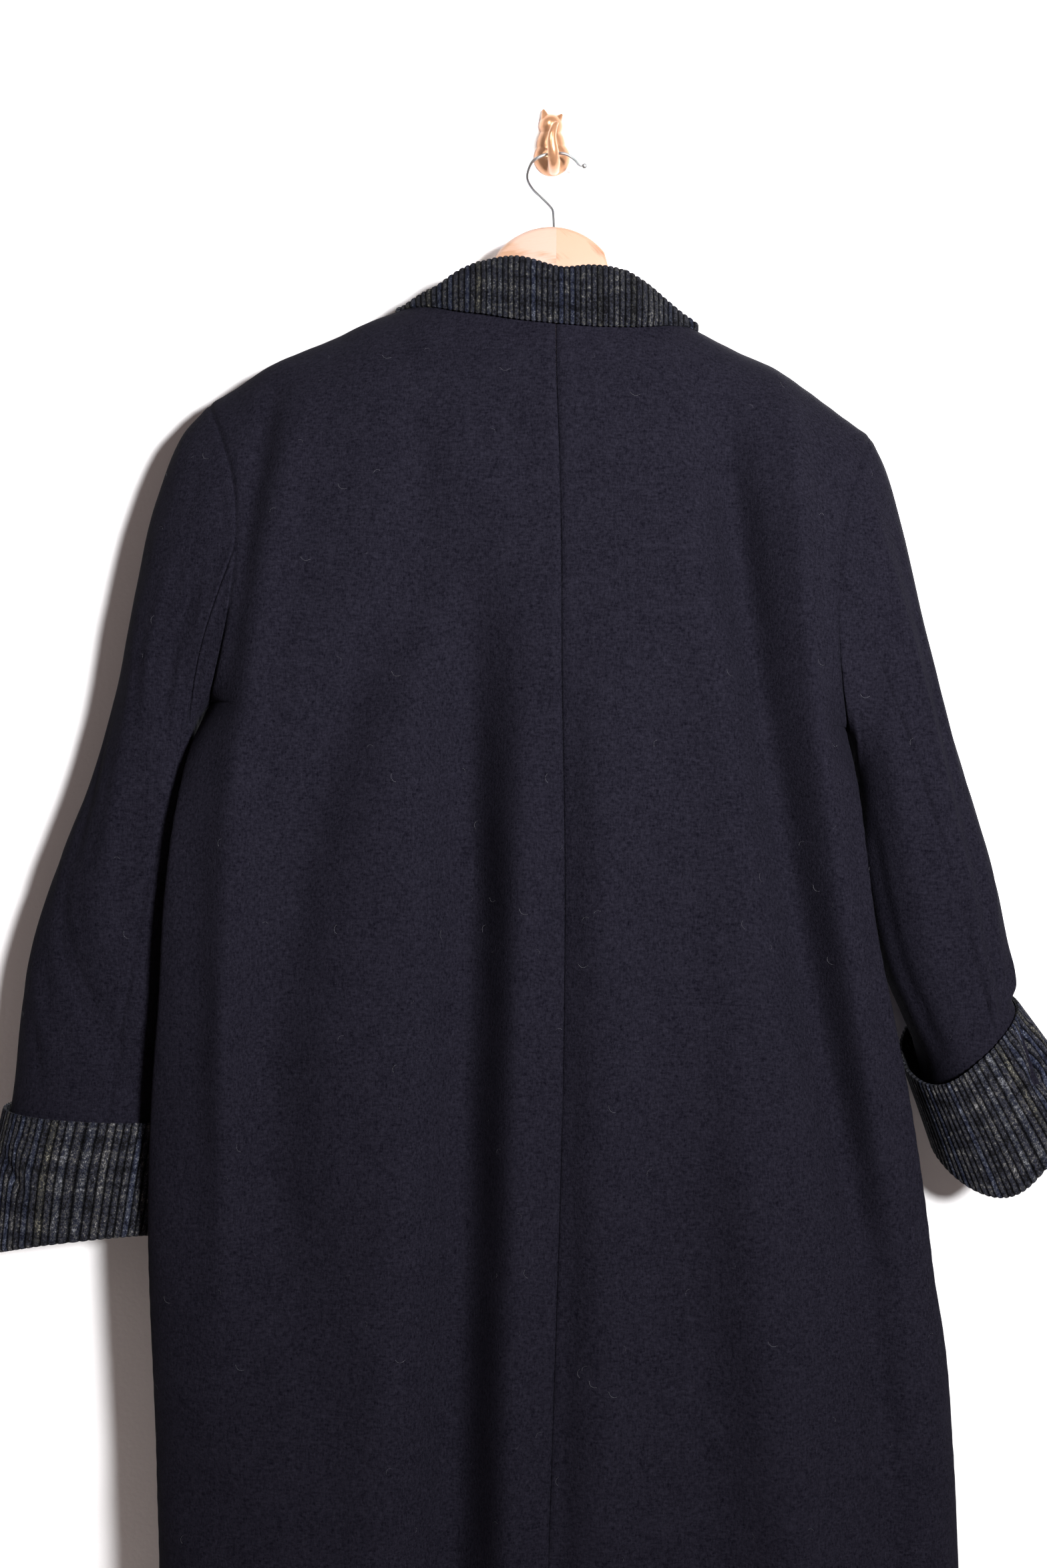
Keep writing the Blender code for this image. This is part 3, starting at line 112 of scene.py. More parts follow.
# The middle of the coat: where the centre seam runs, and the depths of back and fronts.
CENTRE = table(
    "down seam back front",
    (0.113, 0.0021, -0.108, -0.0190),
    (0.160, 0.0021, -0.110, -0.0190),
    (0.200, 0.0021, -0.117, -0.0185),
    (0.260, 0.0040, -0.125, -0.0180),
    (0.340, 0.0056, -0.131, -0.0170),
    (0.440, 0.0060, -0.137, -0.0160),
    (0.560, 0.0078, -0.143, -0.0150),
    (0.700, 0.0072, -0.148, -0.0145),
    (0.830, 0.0041, -0.152, -0.0140),
    (0.980, -0.0008, -0.155, -0.0140),
    (1.110, -0.0048, -0.157, -0.0140),
    (1.340, -0.0080, -0.158, -0.0140),
)

# Each side: shoulder tip, underarm, armhole seam and the outline of the body below it.
# The armhole's "turn" goes from 0 at the tip to 1 at the underarm, even steps being even angles.
SIDES = {
    "left": {
        "sign": -1,
        "tip": (-0.2702, 0.2199),
        "under": (-0.2640, 0.4550),
        "armhole": table(
            "turn back front",
            (0.000, -0.2702, -0.2702),
            (0.125, -0.2650, -0.2620),
            (0.250, -0.2545, -0.2500),
            (0.375, -0.2435, -0.2380),
            (0.500, -0.2411, -0.2320),
            (0.625, -0.2455, -0.2320),
            (0.750, -0.2535, -0.2400),
            (0.875, -0.2605, -0.2530),
            (1.000, -0.2640, -0.2640),
        ),
        "outline": table(
            "down x",
            (0.4550, -0.2640),
            (0.4800, -0.2745),
            (0.5310, -0.2855),
            (0.6065, -0.2950),
            (0.6820, -0.2990),
            (0.7480, -0.3040),
            (0.8350, -0.3076),
            (0.9120, -0.3068),
            (0.9640, -0.3048),
            (1.0410, -0.3023),
            (1.1170, -0.3005),
            (1.3300, -0.3005),
        ),
    },
    "right": {
        "sign": 1,
        "tip": (0.2510, 0.2456),
        "under": (0.2265, 0.4750),
        "armhole": table(
            "turn back front",
            (0.000, 0.2510, 0.2510),
            (0.125, 0.2450, 0.2420),
            (0.250, 0.2335, 0.2310),
            (0.375, 0.2228, 0.2190),
            (0.500, 0.2164, 0.2110),
            (0.625, 0.2163, 0.2100),
            (0.750, 0.2190, 0.2140),
            (0.875, 0.2235, 0.2210),
            (1.000, 0.2265, 0.2265),
        ),
        "outline": table(
            "down x",
            (0.4750, 0.2265),
            (0.5150, 0.2318),
            (0.5710, 0.2372),
            (0.6380, 0.2462),
            (0.6820, 0.2550),
            (0.7370, 0.2660),
            (0.7920, 0.2755),
            (0.8480, 0.2838),
            (0.8970, 0.2900),
            (0.9310, 0.2960),
            (1.0290, 0.3048),
            (1.1180, 0.3094),
            (1.3400, 0.3150),
        ),
    },
}

# Depth of the side seam, and where the fronts turn in to it, by distance below the underarm.
# Between "flat" and "turned", shares of the half width, a front leaves the wall for the side.
SIDE = table(
    "below depth flat turned",
    (-0.24, -0.060, 0.45, 1.00),
    (-0.06, -0.070, 0.60, 1.00),
    (0.000, -0.075, 0.74, 0.975),
    (0.030, -0.094, 0.74, 0.93),
    (0.070, -0.110, 0.70, 0.88),
    (0.150, -0.115, 0.68, 0.86),
    (0.280, -0.113, 0.70, 0.88),
    (0.400, -0.106, 0.74, 0.93),
    (0.550, -0.098, 0.76, 0.97),
    (0.900, -0.092, 0.78, 0.99),
)
ARMHOLE_BACK = 0.054        # how far the armhole stands back from its middle depth
ARMHOLE_FRONT = 0.039       # and forward of it
ARMHOLE_FULL = 0.8          # power of its roundness, fuller below 1
UNDERARM_Y = -0.075
UNDERARM_EASE = 0.0008      # more room at the armhole seam, under the arm
UNDERARM_ROOM = 0.0005      # and inside, between back and front
UNDERARM_FROM = 0.625       # part of the armhole above which the back doesn't dip to the underarm
UNDERARM_TO = 0.070         # and distance below the underarm
UNDERARM_POWER = 24         # how close to the edge the dip stays

# Steps of the grids: "form" is coarse and only used to lay one piece on another.
ARM_STEPS_DOWN = {"form": 12, "cloth": 64}
LOW_SHARES = {
    "form": np.linspace(0, 1, 15)[1:],
    "cloth": np.append(np.linspace(0, 1, 100)[1:-1], (0.9955, 0.9985, 1.0)),
}
# Columns beside a panel's edges, as shares of a half width
EDGE_SHARES = np.array([0.0, 0.0025, 0.005, 0.008, 0.012, 0.018, 0.027, 0.04])
INNER_COLUMNS = {"back": 18, "front": 26}        # from a panel's inner edge to its neck point
OUTER_COLUMNS = 40                               # and from there to its outer edge
RING = 2 * ARM_STEPS_DOWN["cloth"]               # columns round a whole sleeve
HIND_COLUMNS = RING * 4 // 16                    # from the sleeve's top to the hindarm seam
FORE_COLUMNS = RING * 5 // 16                    # and from the top to the forearm seam
SLEEVE_ROWS = 96            # rings along a sleeve, down to the cuff
HIDDEN_ROWS = 8             # and inside the cuff
ROW_POWER = 1.15            # above 1 the rings start closer together at the armhole
# Columns beside a sleeve's seams, as shares of a panel's width
SLEEVE_EDGES = np.array([0, 0.0045, 0.009, 0.015, 0.024, 0.037, 0.055])


def shares_for(face, start):
    """Shares of a half width for the columns, close together at both edges."""
    first = start + EDGE_SHARES
    inner = np.linspace(first[-1], NECK_SHARE, INNER_COLUMNS[face])[1:]
    outer = np.linspace(NECK_SHARE, 1 - EDGE_SHARES[-1], OUTER_COLUMNS)[1:]
    return np.concatenate([first, inner, outer, 1 - EDGE_SHARES[-2::-1]])


SHARES = {
    "form": {"back": np.linspace(0, 1, 15), "front": np.linspace(-OVERLAP, 1, 17)},
    "cloth": {"back": shares_for("back", 0.0), "front": shares_for("front", -OVERLAP)},
}

# The folds of the back. Each runs through three points and is a valley where its depth is above
# zero, a ridge where it is below. "fade" is the length over which it starts and ends.
BACK_FOLDS = table(
    "x1 down1 x2 down2 x3 down3 width depth fade",
    (-0.064, 0.40, -0.067, 0.80, -0.086, 1.34, 0.027, 0.0135, 0.10),
    (-0.026, 0.50, -0.033, 0.85, -0.043, 1.34, 0.020, -0.0060, 0.09),
    (0.036, 0.46, 0.038, 0.70, 0.034, 1.10, 0.026, -0.0050, 0.09),
    (0.132, 0.26, 0.177, 0.58, 0.233, 0.86, 0.020, 0.0120, 0.09),
    (0.184, 0.24, 0.210, 0.55, 0.246, 0.80, 0.013, -0.0060, 0.09),
    (-0.219, 0.24, -0.235, 0.34, -0.243, 0.42, 0.010, 0.0062, 0.09),
    (-0.208, 0.28, -0.239, 0.50, -0.242, 0.78, 0.016, -0.0060, 0.09),
    (-0.120, 0.38, -0.183, 0.55, -0.198, 0.90, 0.030, 0.0060, 0.09),
    (0.132, 0.74, 0.166, 0.98, 0.180, 1.34, 0.032, -0.0070, 0.09),
    (0.226, 0.84, 0.248, 1.02, 0.254, 1.34, 0.020, 0.0060, 0.09),
    (-0.102, 0.25, -0.102, 0.34, -0.106, 0.43, 0.018, 0.0022, 0.05),
    (0.012, 0.46, 0.010, 0.80, -0.002, 1.30, 0.009, 0.0012, 0.10),
    (0.100, 0.42, 0.108, 0.60, 0.120, 0.86, 0.022, 0.0018, 0.08),
    (0.184, 0.866, 0.192, 0.880, 0.203, 0.886, 0.005, 0.0012, 0.006),
    (0.236, 0.93, 0.243, 0.96, 0.244, 1.00, 0.009, 0.0012, 0.03),
    (-0.120, 0.80, -0.128, 1.00, -0.140, 1.34, 0.026, -0.0022, 0.10),
    (0.110, 0.92, 0.120, 1.10, 0.124, 1.34, 0.024, 0.0018, 0.10),
    (-0.243, 0.66, -0.247, 0.80, -0.249, 0.92, 0.012, -0.0024, 0.07),
)
FRONT_FOLDS = table(
    "x1 down1 x2 down2 x3 down3 width depth fade",
    (-0.130, 0.36, -0.140, 0.80, -0.150, 1.34, 0.030, -0.0070, 0.09),
    (-0.070, 0.50, -0.075, 0.90, -0.080, 1.34, 0.022, -0.0045, 0.09),
    (0.110, 0.40, 0.135, 0.80, 0.150, 1.34, 0.030, -0.0070, 0.09),
    (0.190, 0.60, 0.205, 0.90, 0.210, 1.34, 0.020, -0.0040, 0.09),
)
FOLD_GAIN = 2.2             # the back's folds are this much deeper than the table, for the light
TO_THE_HEM = 1.3            # a fold that ends below this runs on through the hem
# Waves all over the cloth: length across, length down, height, slope of the crests, start.
WAVES = (
    (0.110, 0.260, 0.0006, 0.20, 0.3),
    (0.067, 0.150, 0.0004, -0.35, 1.7),
    (0.041, 0.093, 0.00022, 0.60, 4.1),
    (0.027, 0.038, 0.00012, -0.90, 2.6),
)
WAVE_BEND = 0.8             # how far a wave's crests bend
WAVE_FADE = 0.3             # how much of its height comes and goes along it
WAVE_SWING = 3              # how much longer across its bends are
WAVE_START = 2.3            # and how much later they start
SLEEVE_WAVES = (1.3, 0.3)   # a sleeve's waves are closer together round it, and slanting

# Stretches over which a shape comes in or goes, from the first value (or 0) to the last.
TOP_ROUND = 0.05            # below the top line, before the folds have their depth
SIDE_FULL = (-0.14, 0.05)   # from the underarm down: the back rounds into the side seam
FRONT_FULL = (-0.02, 0.06)  # the same for the fronts
OVERLAP_FADE = (0.2, 0.42)  # shares of a half width: the outer front comes down to the wall side
OVERLAP_TOP = (0.02, 0.08)  # from the top line down: it comes off the inner front
CALM_TOP = 0.03             # from a panel's top seam: its waves
CALM_SIDE = 0.02            # and from its side seam
SLEEVE_CALM = (0.004, 0.06)     # shares of a sleeve: its creases and waves start below the armhole
CUFF_CALM = (0.06, 0.008)       # and end this far above the cuff
CUFF_HIDES = 0.01               # sleeve seams flatten this close to the cuff's edge
ROUNDS = {"back": 4, "folds": 8, "front": 20}   # powers: the higher, the nearer the edge

# Sleeves: outer and inner profile in the wall's plane, nearest and farthest depth, and where
# the hindarm and forearm seams lie round the ring (0 on top, 0.25 towards the room, 0.5 inside).
# "dip" is how much lower the side towards the room hangs, along the sleeve. The rings that the
# cuff hides come from the cuff.
SLEEVES = {
    "left": table(
        "share outer_x outer_down inner_x inner_down near far dip hind fore",
        (0.00, -0.2702, 0.2199, -0.2640, 0.4550, -0.110, -0.020, 0.000, 0.250, 0.6875),
        (0.05, -0.2900, 0.2440, -0.2722, 0.4670, -0.108, -0.018, 0.000, 0.310, 0.6875),
        (0.12, -0.3100, 0.2950, -0.2748, 0.4800, -0.104, -0.015, 0.000, 0.360, 0.6900),
        (0.22, -0.3250, 0.3644, -0.2720, 0.5000, -0.100, -0.012, 0.000, 0.352, 0.7000),
        (0.33, -0.3390, 0.4400, -0.2670, 0.5300, -0.098, -0.008, 0.000, 0.315, 0.7100),
        (0.44, -0.3590, 0.5080, -0.2630, 0.5700, -0.098, -0.006, 0.000, 0.287, 0.7200),
        (0.55, -0.3862, 0.5800, -0.2630, 0.6150, -0.098, -0.005, 0.000, 0.276, 0.7300),
        (0.66, -0.4076, 0.6480, -0.2670, 0.6650, -0.097, -0.005, 0.000, 0.277, 0.7300),
        (0.77, -0.4178, 0.7150, -0.2760, 0.7200, -0.095, -0.007, -0.002, 0.275, 0.7300),
    ),
    "right": table(
        "share outer_x outer_down inner_x inner_down near far dip hind fore",
        (0.00, 0.2510, 0.2456, 0.2265, 0.4750, -0.110, -0.020, 0.000, 0.250, 0.6875),
        (0.05, 0.2615, 0.2700, 0.2320, 0.4880, -0.108, -0.018, 0.000, 0.254, 0.6875),
        (0.12, 0.2735, 0.3170, 0.2340, 0.5000, -0.105, -0.016, 0.000, 0.258, 0.6900),
        (0.22, 0.2890, 0.3900, 0.2370, 0.5150, -0.103, -0.014, 0.000, 0.255, 0.7000),
        (0.33, 0.3065, 0.4600, 0.2390, 0.5400, -0.102, -0.012, 0.000, 0.242, 0.7100),
        (0.45, 0.3265, 0.5300, 0.2410, 0.5750, -0.102, -0.011, 0.000, 0.228, 0.7200),
        (0.56, 0.3440, 0.5880, 0.2470, 0.6150, -0.101, -0.011, 0.000, 0.221, 0.7300),
        (0.67, 0.3545, 0.6400, 0.2580, 0.6600, -0.099, -0.012, 0.000, 0.215, 0.7300),
        (0.78, 0.3595, 0.6680, 0.2755, 0.7000, -0.098, -0.012, 0.004, 0.212, 0.7300),
    ),
}
CUFF_FROM = {"left": 0.85, "right": 0.88}       # share of the sleeve at the cuff's top edge
WRIST_SEAMS = {"left": (0.300, 0.7300), "right": (0.235, 0.7300)}
RING_POWER = 0.86           # below 1 a ring is fuller than an ellipse
ARMHOLE_REACH = 0.30        # share of the sleeve over which the armhole's shape fades

# Cuffs: rings from the loose top edge (0) to the turned bottom (1). "skew" adds to the dip on
# the outer half and takes from it on the inner half, and "rise" lifts the side near the wall.
# "inset" is how far inside the cuff's valleys the sleeve runs, and "tuck" how much further in its
# inner edge lies.
CUFFS = {
    "left": table(
        "share outer_x outer_down inner_x inner_down near far dip skew rise inset tuck",
        (0.0, -0.4285, 0.7690, -0.2815, 0.7760, -0.1000, -0.0050, 0.0040, 0.0000, 0.0, 0.0052, 0.0000),
        (0.5, -0.4390, 0.8200, -0.2885, 0.8245, -0.1010, -0.0048, -0.0040, 0.0010, 0.0, 0.0050, 0.0000),
        (1.0, -0.4440, 0.8880, -0.2950, 0.8735, -0.1000, -0.0050, -0.0120, 0.0010, 0.0, 0.0046, 0.0000),
    ),
    "right": table(
        "share outer_x outer_down inner_x inner_down near far dip skew rise inset tuck",
        (0.0, 0.3645, 0.6911, 0.2805, 0.7463, -0.1030, -0.0060, 0.0095, -0.0054, 0.030, 0.0032, 0.0100),
        (0.5, 0.3805, 0.7120, 0.2868, 0.7712, -0.1040, -0.0060, 0.0330, -0.0095, 0.015, 0.0040, 0.0060),
        (1.0, 0.3965, 0.7330, 0.2930, 0.7970, -0.1030, -0.0080, 0.0570, -0.0135, 0.000, 0.0046, 0.0000),
    ),
}
# Creases of the sleeves, from one share and place round the ring to another. Above zero they
# stand out, below zero they dip. "wide" is in shares of the ring.
SLEEVE_CREASES = {
    "left": table(
        "share1 turn1 share2 turn2 wide out fade",
        (0.60, 0.135, 0.80, 0.285, 0.022, -0.0042, 0.05),
        (0.58, 0.200, 0.74, 0.330, 0.028, 0.0022, 0.05),
        (0.68, 0.080, 0.82, 0.200, 0.026, 0.0018, 0.05),
        (0.30, 0.140, 0.56, 0.215, 0.026, 0.0026, 0.07),
        (0.34, 0.060, 0.58, 0.130, 0.022, -0.0020, 0.07),
        (0.05, 0.180, 0.30, 0.205, 0.022, 0.0018, 0.06),
        (0.05, 0.255, 0.32, 0.270, 0.020, -0.0020, 0.06),
        (0.55, 0.370, 0.84, 0.360, 0.026, -0.0030, 0.06),
        (0.76, 0.120, 0.84, 0.180, 0.016, -0.0012, 0.03),
    ),
    "right": table(
        "share1 turn1 share2 turn2 wide out fade",
        (0.06, 0.150, 0.88, 0.205, 0.014, 0.0030, 0.05),
        (0.10, 0.105, 0.88, 0.165, 0.022, -0.0026, 0.05),
        (0.20, 0.300, 0.70, 0.290, 0.030, 0.0016, 0.10),
        (0.40, 0.400, 0.84, 0.380, 0.030, -0.0026, 0.08),
        (0.74, 0.110, 0.86, 0.150, 0.018, -0.0020, 0.03),
        (0.70, 0.050, 0.84, 0.090, 0.022, 0.0016, 0.04),
        (0.80, 0.250, 0.88, 0.300, 0.022, -0.0012, 0.03),
    ),
}
# Dents and swellings of the cuffs, in the same way.
CUFF_DENTS = {
    "left": table(
        "share1 turn1 share2 turn2 wide out fade",
        (0.35, 0.110, 0.62, 0.165, 0.012, -0.0034, 0.10),
        (0.20, 0.135, 0.55, 0.185, 0.016, 0.0020, 0.10),
        (0.60, 0.075, 0.95, 0.120, 0.016, 0.0016, 0.10),
        (0.30, 0.250, 0.80, 0.255, 0.018, 0.0010, 0.20),
        (0.85, 0.205, 1.05, 0.210, 0.018, -0.0020, 0.10),
    ),
    "right": table(
        "share1 turn1 share2 turn2 wide out fade",
        (0.10, 0.120, 0.52, 0.175, 0.014, -0.0052, 0.12),
        (0.45, 0.175, 0.80, 0.130, 0.014, -0.0044, 0.12),
        (0.05, 0.160, 0.45, 0.205, 0.012, 0.0030, 0.12),
        (0.20, 0.080, 0.60, 0.110, 0.016, 0.0034, 0.12),
        (0.60, 0.215, 0.95, 0.235, 0.022, 0.0014, 0.15),
        (0.30, 0.330, 0.90, 0.345, 0.022, -0.0016, 0.15),
    ),
}
CUFF_WALES = {"left": 76, "right": 72}
CUFF_ROWS = 34              # rows down a cuff before its bottom turns in
TURN_FROM = 0.955           # share at which the turn starts
TURN_STEPS = 6
CUFF_TURN = 0.0065          # how far the turned bottom reaches in under the sleeve's end
CUFF_CUT = 0.03             # share over which its wales rise from the top edge
CUFF_INSIDE = 0.03          # share above the turn where its inner face ends
CUFF_FLAT = 0.9             # how much lower the wales lie where it is turned in
WRIST_RISE = 0.0052         # the sleeve's end above the cuff's bottom

# Collar: over each x, where its leaf runs. "edge" is the free edge on the back, "roll" the fold
# behind the neck, "top" the ridge over the shoulder, and the rest the same on the front. The
# edge and the front lie on the panels, so only their downs are given.
COLLAR = table(
    "x edge_down roll roll_down top top_down fore fore_down front_down",
    (-0.1225, 0.1490, -0.0480, 0.1482, -0.0430, 0.1458, -0.0370, 0.1492, 0.1560),
    (-0.1160, 0.1472, -0.0510, 0.1450, -0.0430, 0.1436, -0.0330, 0.1470, 0.1630),
    (-0.1080, 0.1470, -0.0550, 0.1405, -0.0430, 0.1396, -0.0290, 0.1430, 0.1760),
    (-0.0900, 0.1494, -0.0640, 0.1325, -0.0430, 0.1310, -0.0230, 0.1400, 0.2060),
    (-0.0700, 0.1540, -0.0730, 0.1213, -0.0440, 0.1198, -0.0200, 0.1430, 0.2330),
    (-0.0540, 0.1565, -0.0790, 0.1166, -0.0440, 0.1140, -0.0170, 0.1600, 0.2490),
    (-0.0300, 0.1612, -0.0860, 0.1142, -0.0440, 0.1110, -0.0160, 0.1930, 0.2620),
    (0.0080, 0.1656, -0.0890, 0.1232, -0.0440, 0.1110, -0.0150, 0.2050, 0.2690),
    (0.0300, 0.1670, -0.0865, 0.1212, -0.0440, 0.1130, -0.0160, 0.1990, 0.2650),
    (0.0540, 0.1670, -0.0800, 0.1236, -0.0440, 0.1190, -0.0170, 0.1750, 0.2540),
    (0.0700, 0.1660, -0.0740, 0.1312, -0.0440, 0.1300, -0.0200, 0.1560, 0.2400),
    (0.0900, 0.1632, -0.0640, 0.1450, -0.0430, 0.1446, -0.0240, 0.1510, 0.2110),
    (0.1010, 0.1620, -0.0560, 0.1518, -0.0430, 0.1515, -0.0290, 0.1560, 0.1890),
    (0.1080, 0.1616, -0.0520, 0.1556, -0.0430, 0.1552, -0.0330, 0.1590, 0.1760),
    (0.1136, 0.1640, -0.0480, 0.1590, -0.0430, 0.1582, -0.0370, 0.1600, 0.1680),
)
COLLAR_ENDS = COLLAR["x"][0], COLLAR["x"][-1]
NECK_SIDE = 0.054           # half width of the neck opening at the roll
COLLAR_SLIT = 0.0045        # half width between the collar's ends at the front
COLLAR_WALES = 56
COLLAR_ROWS = 7             # fine rows for each stretch of the table
ROLL_ROW, TOP_ROW, FORE_ROW = 3, 5, 6
LEAF_LIFT = 0.0022          # free edge of the leaf off the back
LEAF_SWELL = 0.0030         # how far the leaf bows out between edge and roll
SCALLOP = 0.0007            # how far a wale's end stands past the groove beside it
SCALLOP_ROWS = 0.3          # rows of the table that it takes on the collar
SCALLOP_SHARE = 0.06        # and share of a cuff
SCALLOP_TURN = (4, 2)       # how soon it comes and how strong it is where the cuff turns in
DENTS_INSIDE = 0.4          # row of the table past which the leaf's inner face follows its dents
COLLAR_CUT = 3              # the wales rise from its edges in a third of a row
LOWEST_WALE = 0.25          # height that a wale keeps at a cut edge, as a share
SWELL_SHARES = (0.30, 0.65)     # places of the leaf's two bowed rows between edge and roll
SWELL_OVER = 0.03           # the bow fades where the front's row comes this near the ridge
COLLAR_DENTS = table(
    "x1 down1 x2 down2 x3 down3 width depth fade",
    (-0.062, 0.118, -0.058, 0.135, -0.060, 0.150, 0.010, 0.0016, 0.010),
    (-0.020, 0.118, -0.024, 0.140, -0.026, 0.156, 0.012, -0.0012, 0.010),
    (0.022, 0.122, 0.024, 0.142, 0.026, 0.160, 0.010, 0.0014, 0.010),
    (0.066, 0.132, 0.070, 0.148, 0.076, 0.164, 0.012, -0.0014, 0.010),
    (0.094, 0.146, 0.092, 0.155, 0.094, 0.164, 0.008, 0.0012, 0.006),
    (-0.096, 0.132, -0.094, 0.140, -0.092, 0.148, 0.010, -0.0010, 0.006),
)

# Collar stand, from the neckline up to the leaf's opening
STAND_WALL = 0.0022
STAND_CLEAR = 0.0006        # inside the edge of the leaf's opening
STAND_RISE = 0.0003
STAND_SLIT = 0.0040
STAND_SPANS = (24, 60, 24)  # spans along left front, back and right front
STAND_ROWS = 10
NECK_AXIS = (0.0, -0.052)   # middle of the neck opening, x and y

# Hanger
HANGER_Y = -0.0465
HANGER_THICK = 0.012
JOINT_X = 0.0030            # where the two halves meet
HUMP_X = -0.0010            # middle of the hump's round
HUMP_DOWN = 0.134
HUMP_RADIUS = 0.054
HUMP_OUT = 0.044            # where the hump's round ends
NECK_OUT = 0.083            # and where the arm goes in under the shoulder
HUMP_STEPS = 30
ARM_STEPS = 30
ARM_CLEAR = 0.0115          # below the outer face of the shoulder, upright
ARM_ENDS = {"left": -0.2170, "right": 0.2100}
ARM_DEEP = {"middle": 0.052, "neck": 0.036, "end": 0.027}
ARM_ROUND = 0.0036
ARM_TIP_STEPS = 16

# Hanger's wire hook, from the hump up and over the prong to its ball
WIRE_RADIUS = 0.00115
WIRE_STEPS = 8
WIRE_ROUTE = (
    (0.0011, -0.0470, -0.0797),
    (0.0007, -0.0450, -0.0690),
    (-0.0005, -0.0430, -0.0640),
    (-0.0071, -0.0400, -0.0560),
    (-0.0156, -0.0360, -0.0466),
    (-0.0198, -0.0325, -0.0370),
    (-0.0175, -0.0285, -0.0260),
    (-0.0127, -0.0250, -0.0195),
    (-0.0041, -0.0228, -0.0153),
    (0.0015, -0.0220, -0.0142),
    (0.0064, -0.0224, -0.0145),
    (0.0122, -0.0240, -0.0160),
    (0.0180, -0.0255, -0.0205),
    (0.0216, -0.0270, -0.0250),
    (0.0258, -0.0280, -0.0262),
)
WIRE_BALL = 0.0022          # radius of the ball at its free end

# Wall hook: middles and half sizes of the cat's round forms, foot and tip of each ear
CAT_BODY = ((0.0003, 0.0, -0.0120), (0.0148, 0.0120, 0.0148))
CAT_SHOULDERS = ((-0.0006, 0.0, -0.0020), (0.0118, 0.0114, 0.0150))
CAT_HEAD = ((-0.0005, 0.0, 0.0134), (0.0099, 0.0120, 0.0099))
CAT_EARS = (
    ((-0.0048, -0.0040, 0.0190), (-0.0068, -0.0046, 0.0263)),
    ((0.0046, -0.0040, 0.0175), (0.0087, -0.0046, 0.0224)),
)
EAR_RADIUS = 0.0042
EAR_TIP = 0.0010
CAT_TAIL = (
    (0.0017, -0.0050, -0.0225),
    (0.0017, -0.0150, -0.0225),
    (0.0015, -0.0235, -0.0208),
    (0.0008, -0.0290, -0.0150),
    (-0.0002, -0.0315, -0.0080),
    (0.0002, -0.0322, -0.0015),
    (0.0020, -0.0314, 0.0045),
    (0.0040, -0.0298, 0.0080),
)
TAIL_STEPS = 8
TAIL_TAPER = ((0.0, 0.4, 0.75, 1.0), (0.0050, 0.0047, 0.0031, 0.0017))   # share of its length, radius
CAT_VOXEL = 0.00045         # grain of the melted form
CAT_SOFTEN = 9              # rounds of smoothing after it

# Buttons on the hidden front
BUTTONS = 3
BUTTON_RADIUS = 0.0140
BUTTON_THICK = 0.0040
BUTTON_FIRST = 0.330        # down of the first button
BUTTON_STEP = 0.155
BUTTON_FEET = 8             # places round its edge that feel for the cloth
BUTTON_SIDES = 40
BUTTON_PROFILE = ((0.93, -1.0), (1.0, -0.6), (1.0, 0.5), (0.94, 0.95), (0.86, 1.0), (0.78, 0.75),
                  (0.2, 0.6))         # radius and height, as shares

# Edges of the cloth, and the wales of the collar's stand
EDGE_PINCH = (0.0009, 0.00025)      # how far each face comes in on the last lines of a cut edge
SEAM_PINCH = (0.0008, 0.0002)       # the same at the centre-back seam
WALE_WIDE = 0.0042                  # width of one wale on the collar's stand

# Lint: short pale hairs on the wool
LINT_PER_METRE = {"back": 170, "front": 110, "sleeve": 160}     # hairs on a square metre
LINT_LONGEST = 0.008
LINT_SHORTEST = 0.3         # as a share of the longest
LINT_RADIUS = 0.00005
LINT_SEED = 7
LINT_COLOUR = (0.15, 0.15, 0.17, 1.0)

# Colours, and colour ramps as (place, colour) stops
WOOL_DARK = (0.0018, 0.0016, 0.0034)
WOOL_LIGHT = (0.0118, 0.0110, 0.0172)
WOOL_SHEEN = 0.008
COLLAR_STOPS = [(0.16, (0.003, 0.003, 0.004)), (0.30, (0.008, 0.008, 0.009)),
                (0.38, (0.011, 0.013, 0.024)), (0.45, (0.018, 0.018, 0.019)),
                (0.54, (0.026, 0.026, 0.023)), (0.74, (0.110, 0.110, 0.117))]
CUFF_STOPS = [(0.16, (0.004, 0.004, 0.005)), (0.30, (0.012, 0.012, 0.013)),
              (0.38, (0.017, 0.020, 0.036)), (0.45, (0.030, 0.030, 0.032)),
              (0.54, (0.044, 0.043, 0.038)), (0.72, (0.190, 0.190, 0.200))]
WALE_DYES = [(0.56, (0.86, 0.85, 0.86)), (0.66, (0.64, 0.72, 1.00)), (0.78, (0.64, 0.72, 1.00)),
             (0.88, (0.90, 0.87, 0.74))]
# Painted shade of the corduroy's grooves: places across a wale's roundness, and the grey that its colour
# is multiplied by there
GROOVE_SHADE_STOPS = ((0.0, 0.03), (0.35, 0.30), (0.65, 0.85), (1.0, 1.0))   # place and grey
PILE_CONTRAST = 2.1         # how far single tufts move along the colour ramp
STRIPE_START = 3.7          # where the run of wale colours starts
BAND_DRIFT = 0.045          # how far the check shifts from one wale to the next
BEECH_STOPS = {
    "left": [(0.37, (0.225, 0.120, 0.068)), (0.49, (0.270, 0.166, 0.118)), (0.61, (0.30, 0.20, 0.155))],
    "right": [(0.39, (0.215, 0.088, 0.040)), (0.50, (0.262, 0.140, 0.086)), (0.61, (0.30, 0.18, 0.12))],
}
BEECH_TURN = {"left": 0.15, "right": -0.75}     # of the grain, in radians
METAL_WEAR = 0.12           # how much the roughness of metal varies
CHROME = (0.29, 0.295, 0.30)
COPPER = (0.38, 0.195, 0.105)
WALL_WHITE = (0.80, 0.79, 0.80)
FLOOR_PALE = (0.74, 0.67, 0.62)

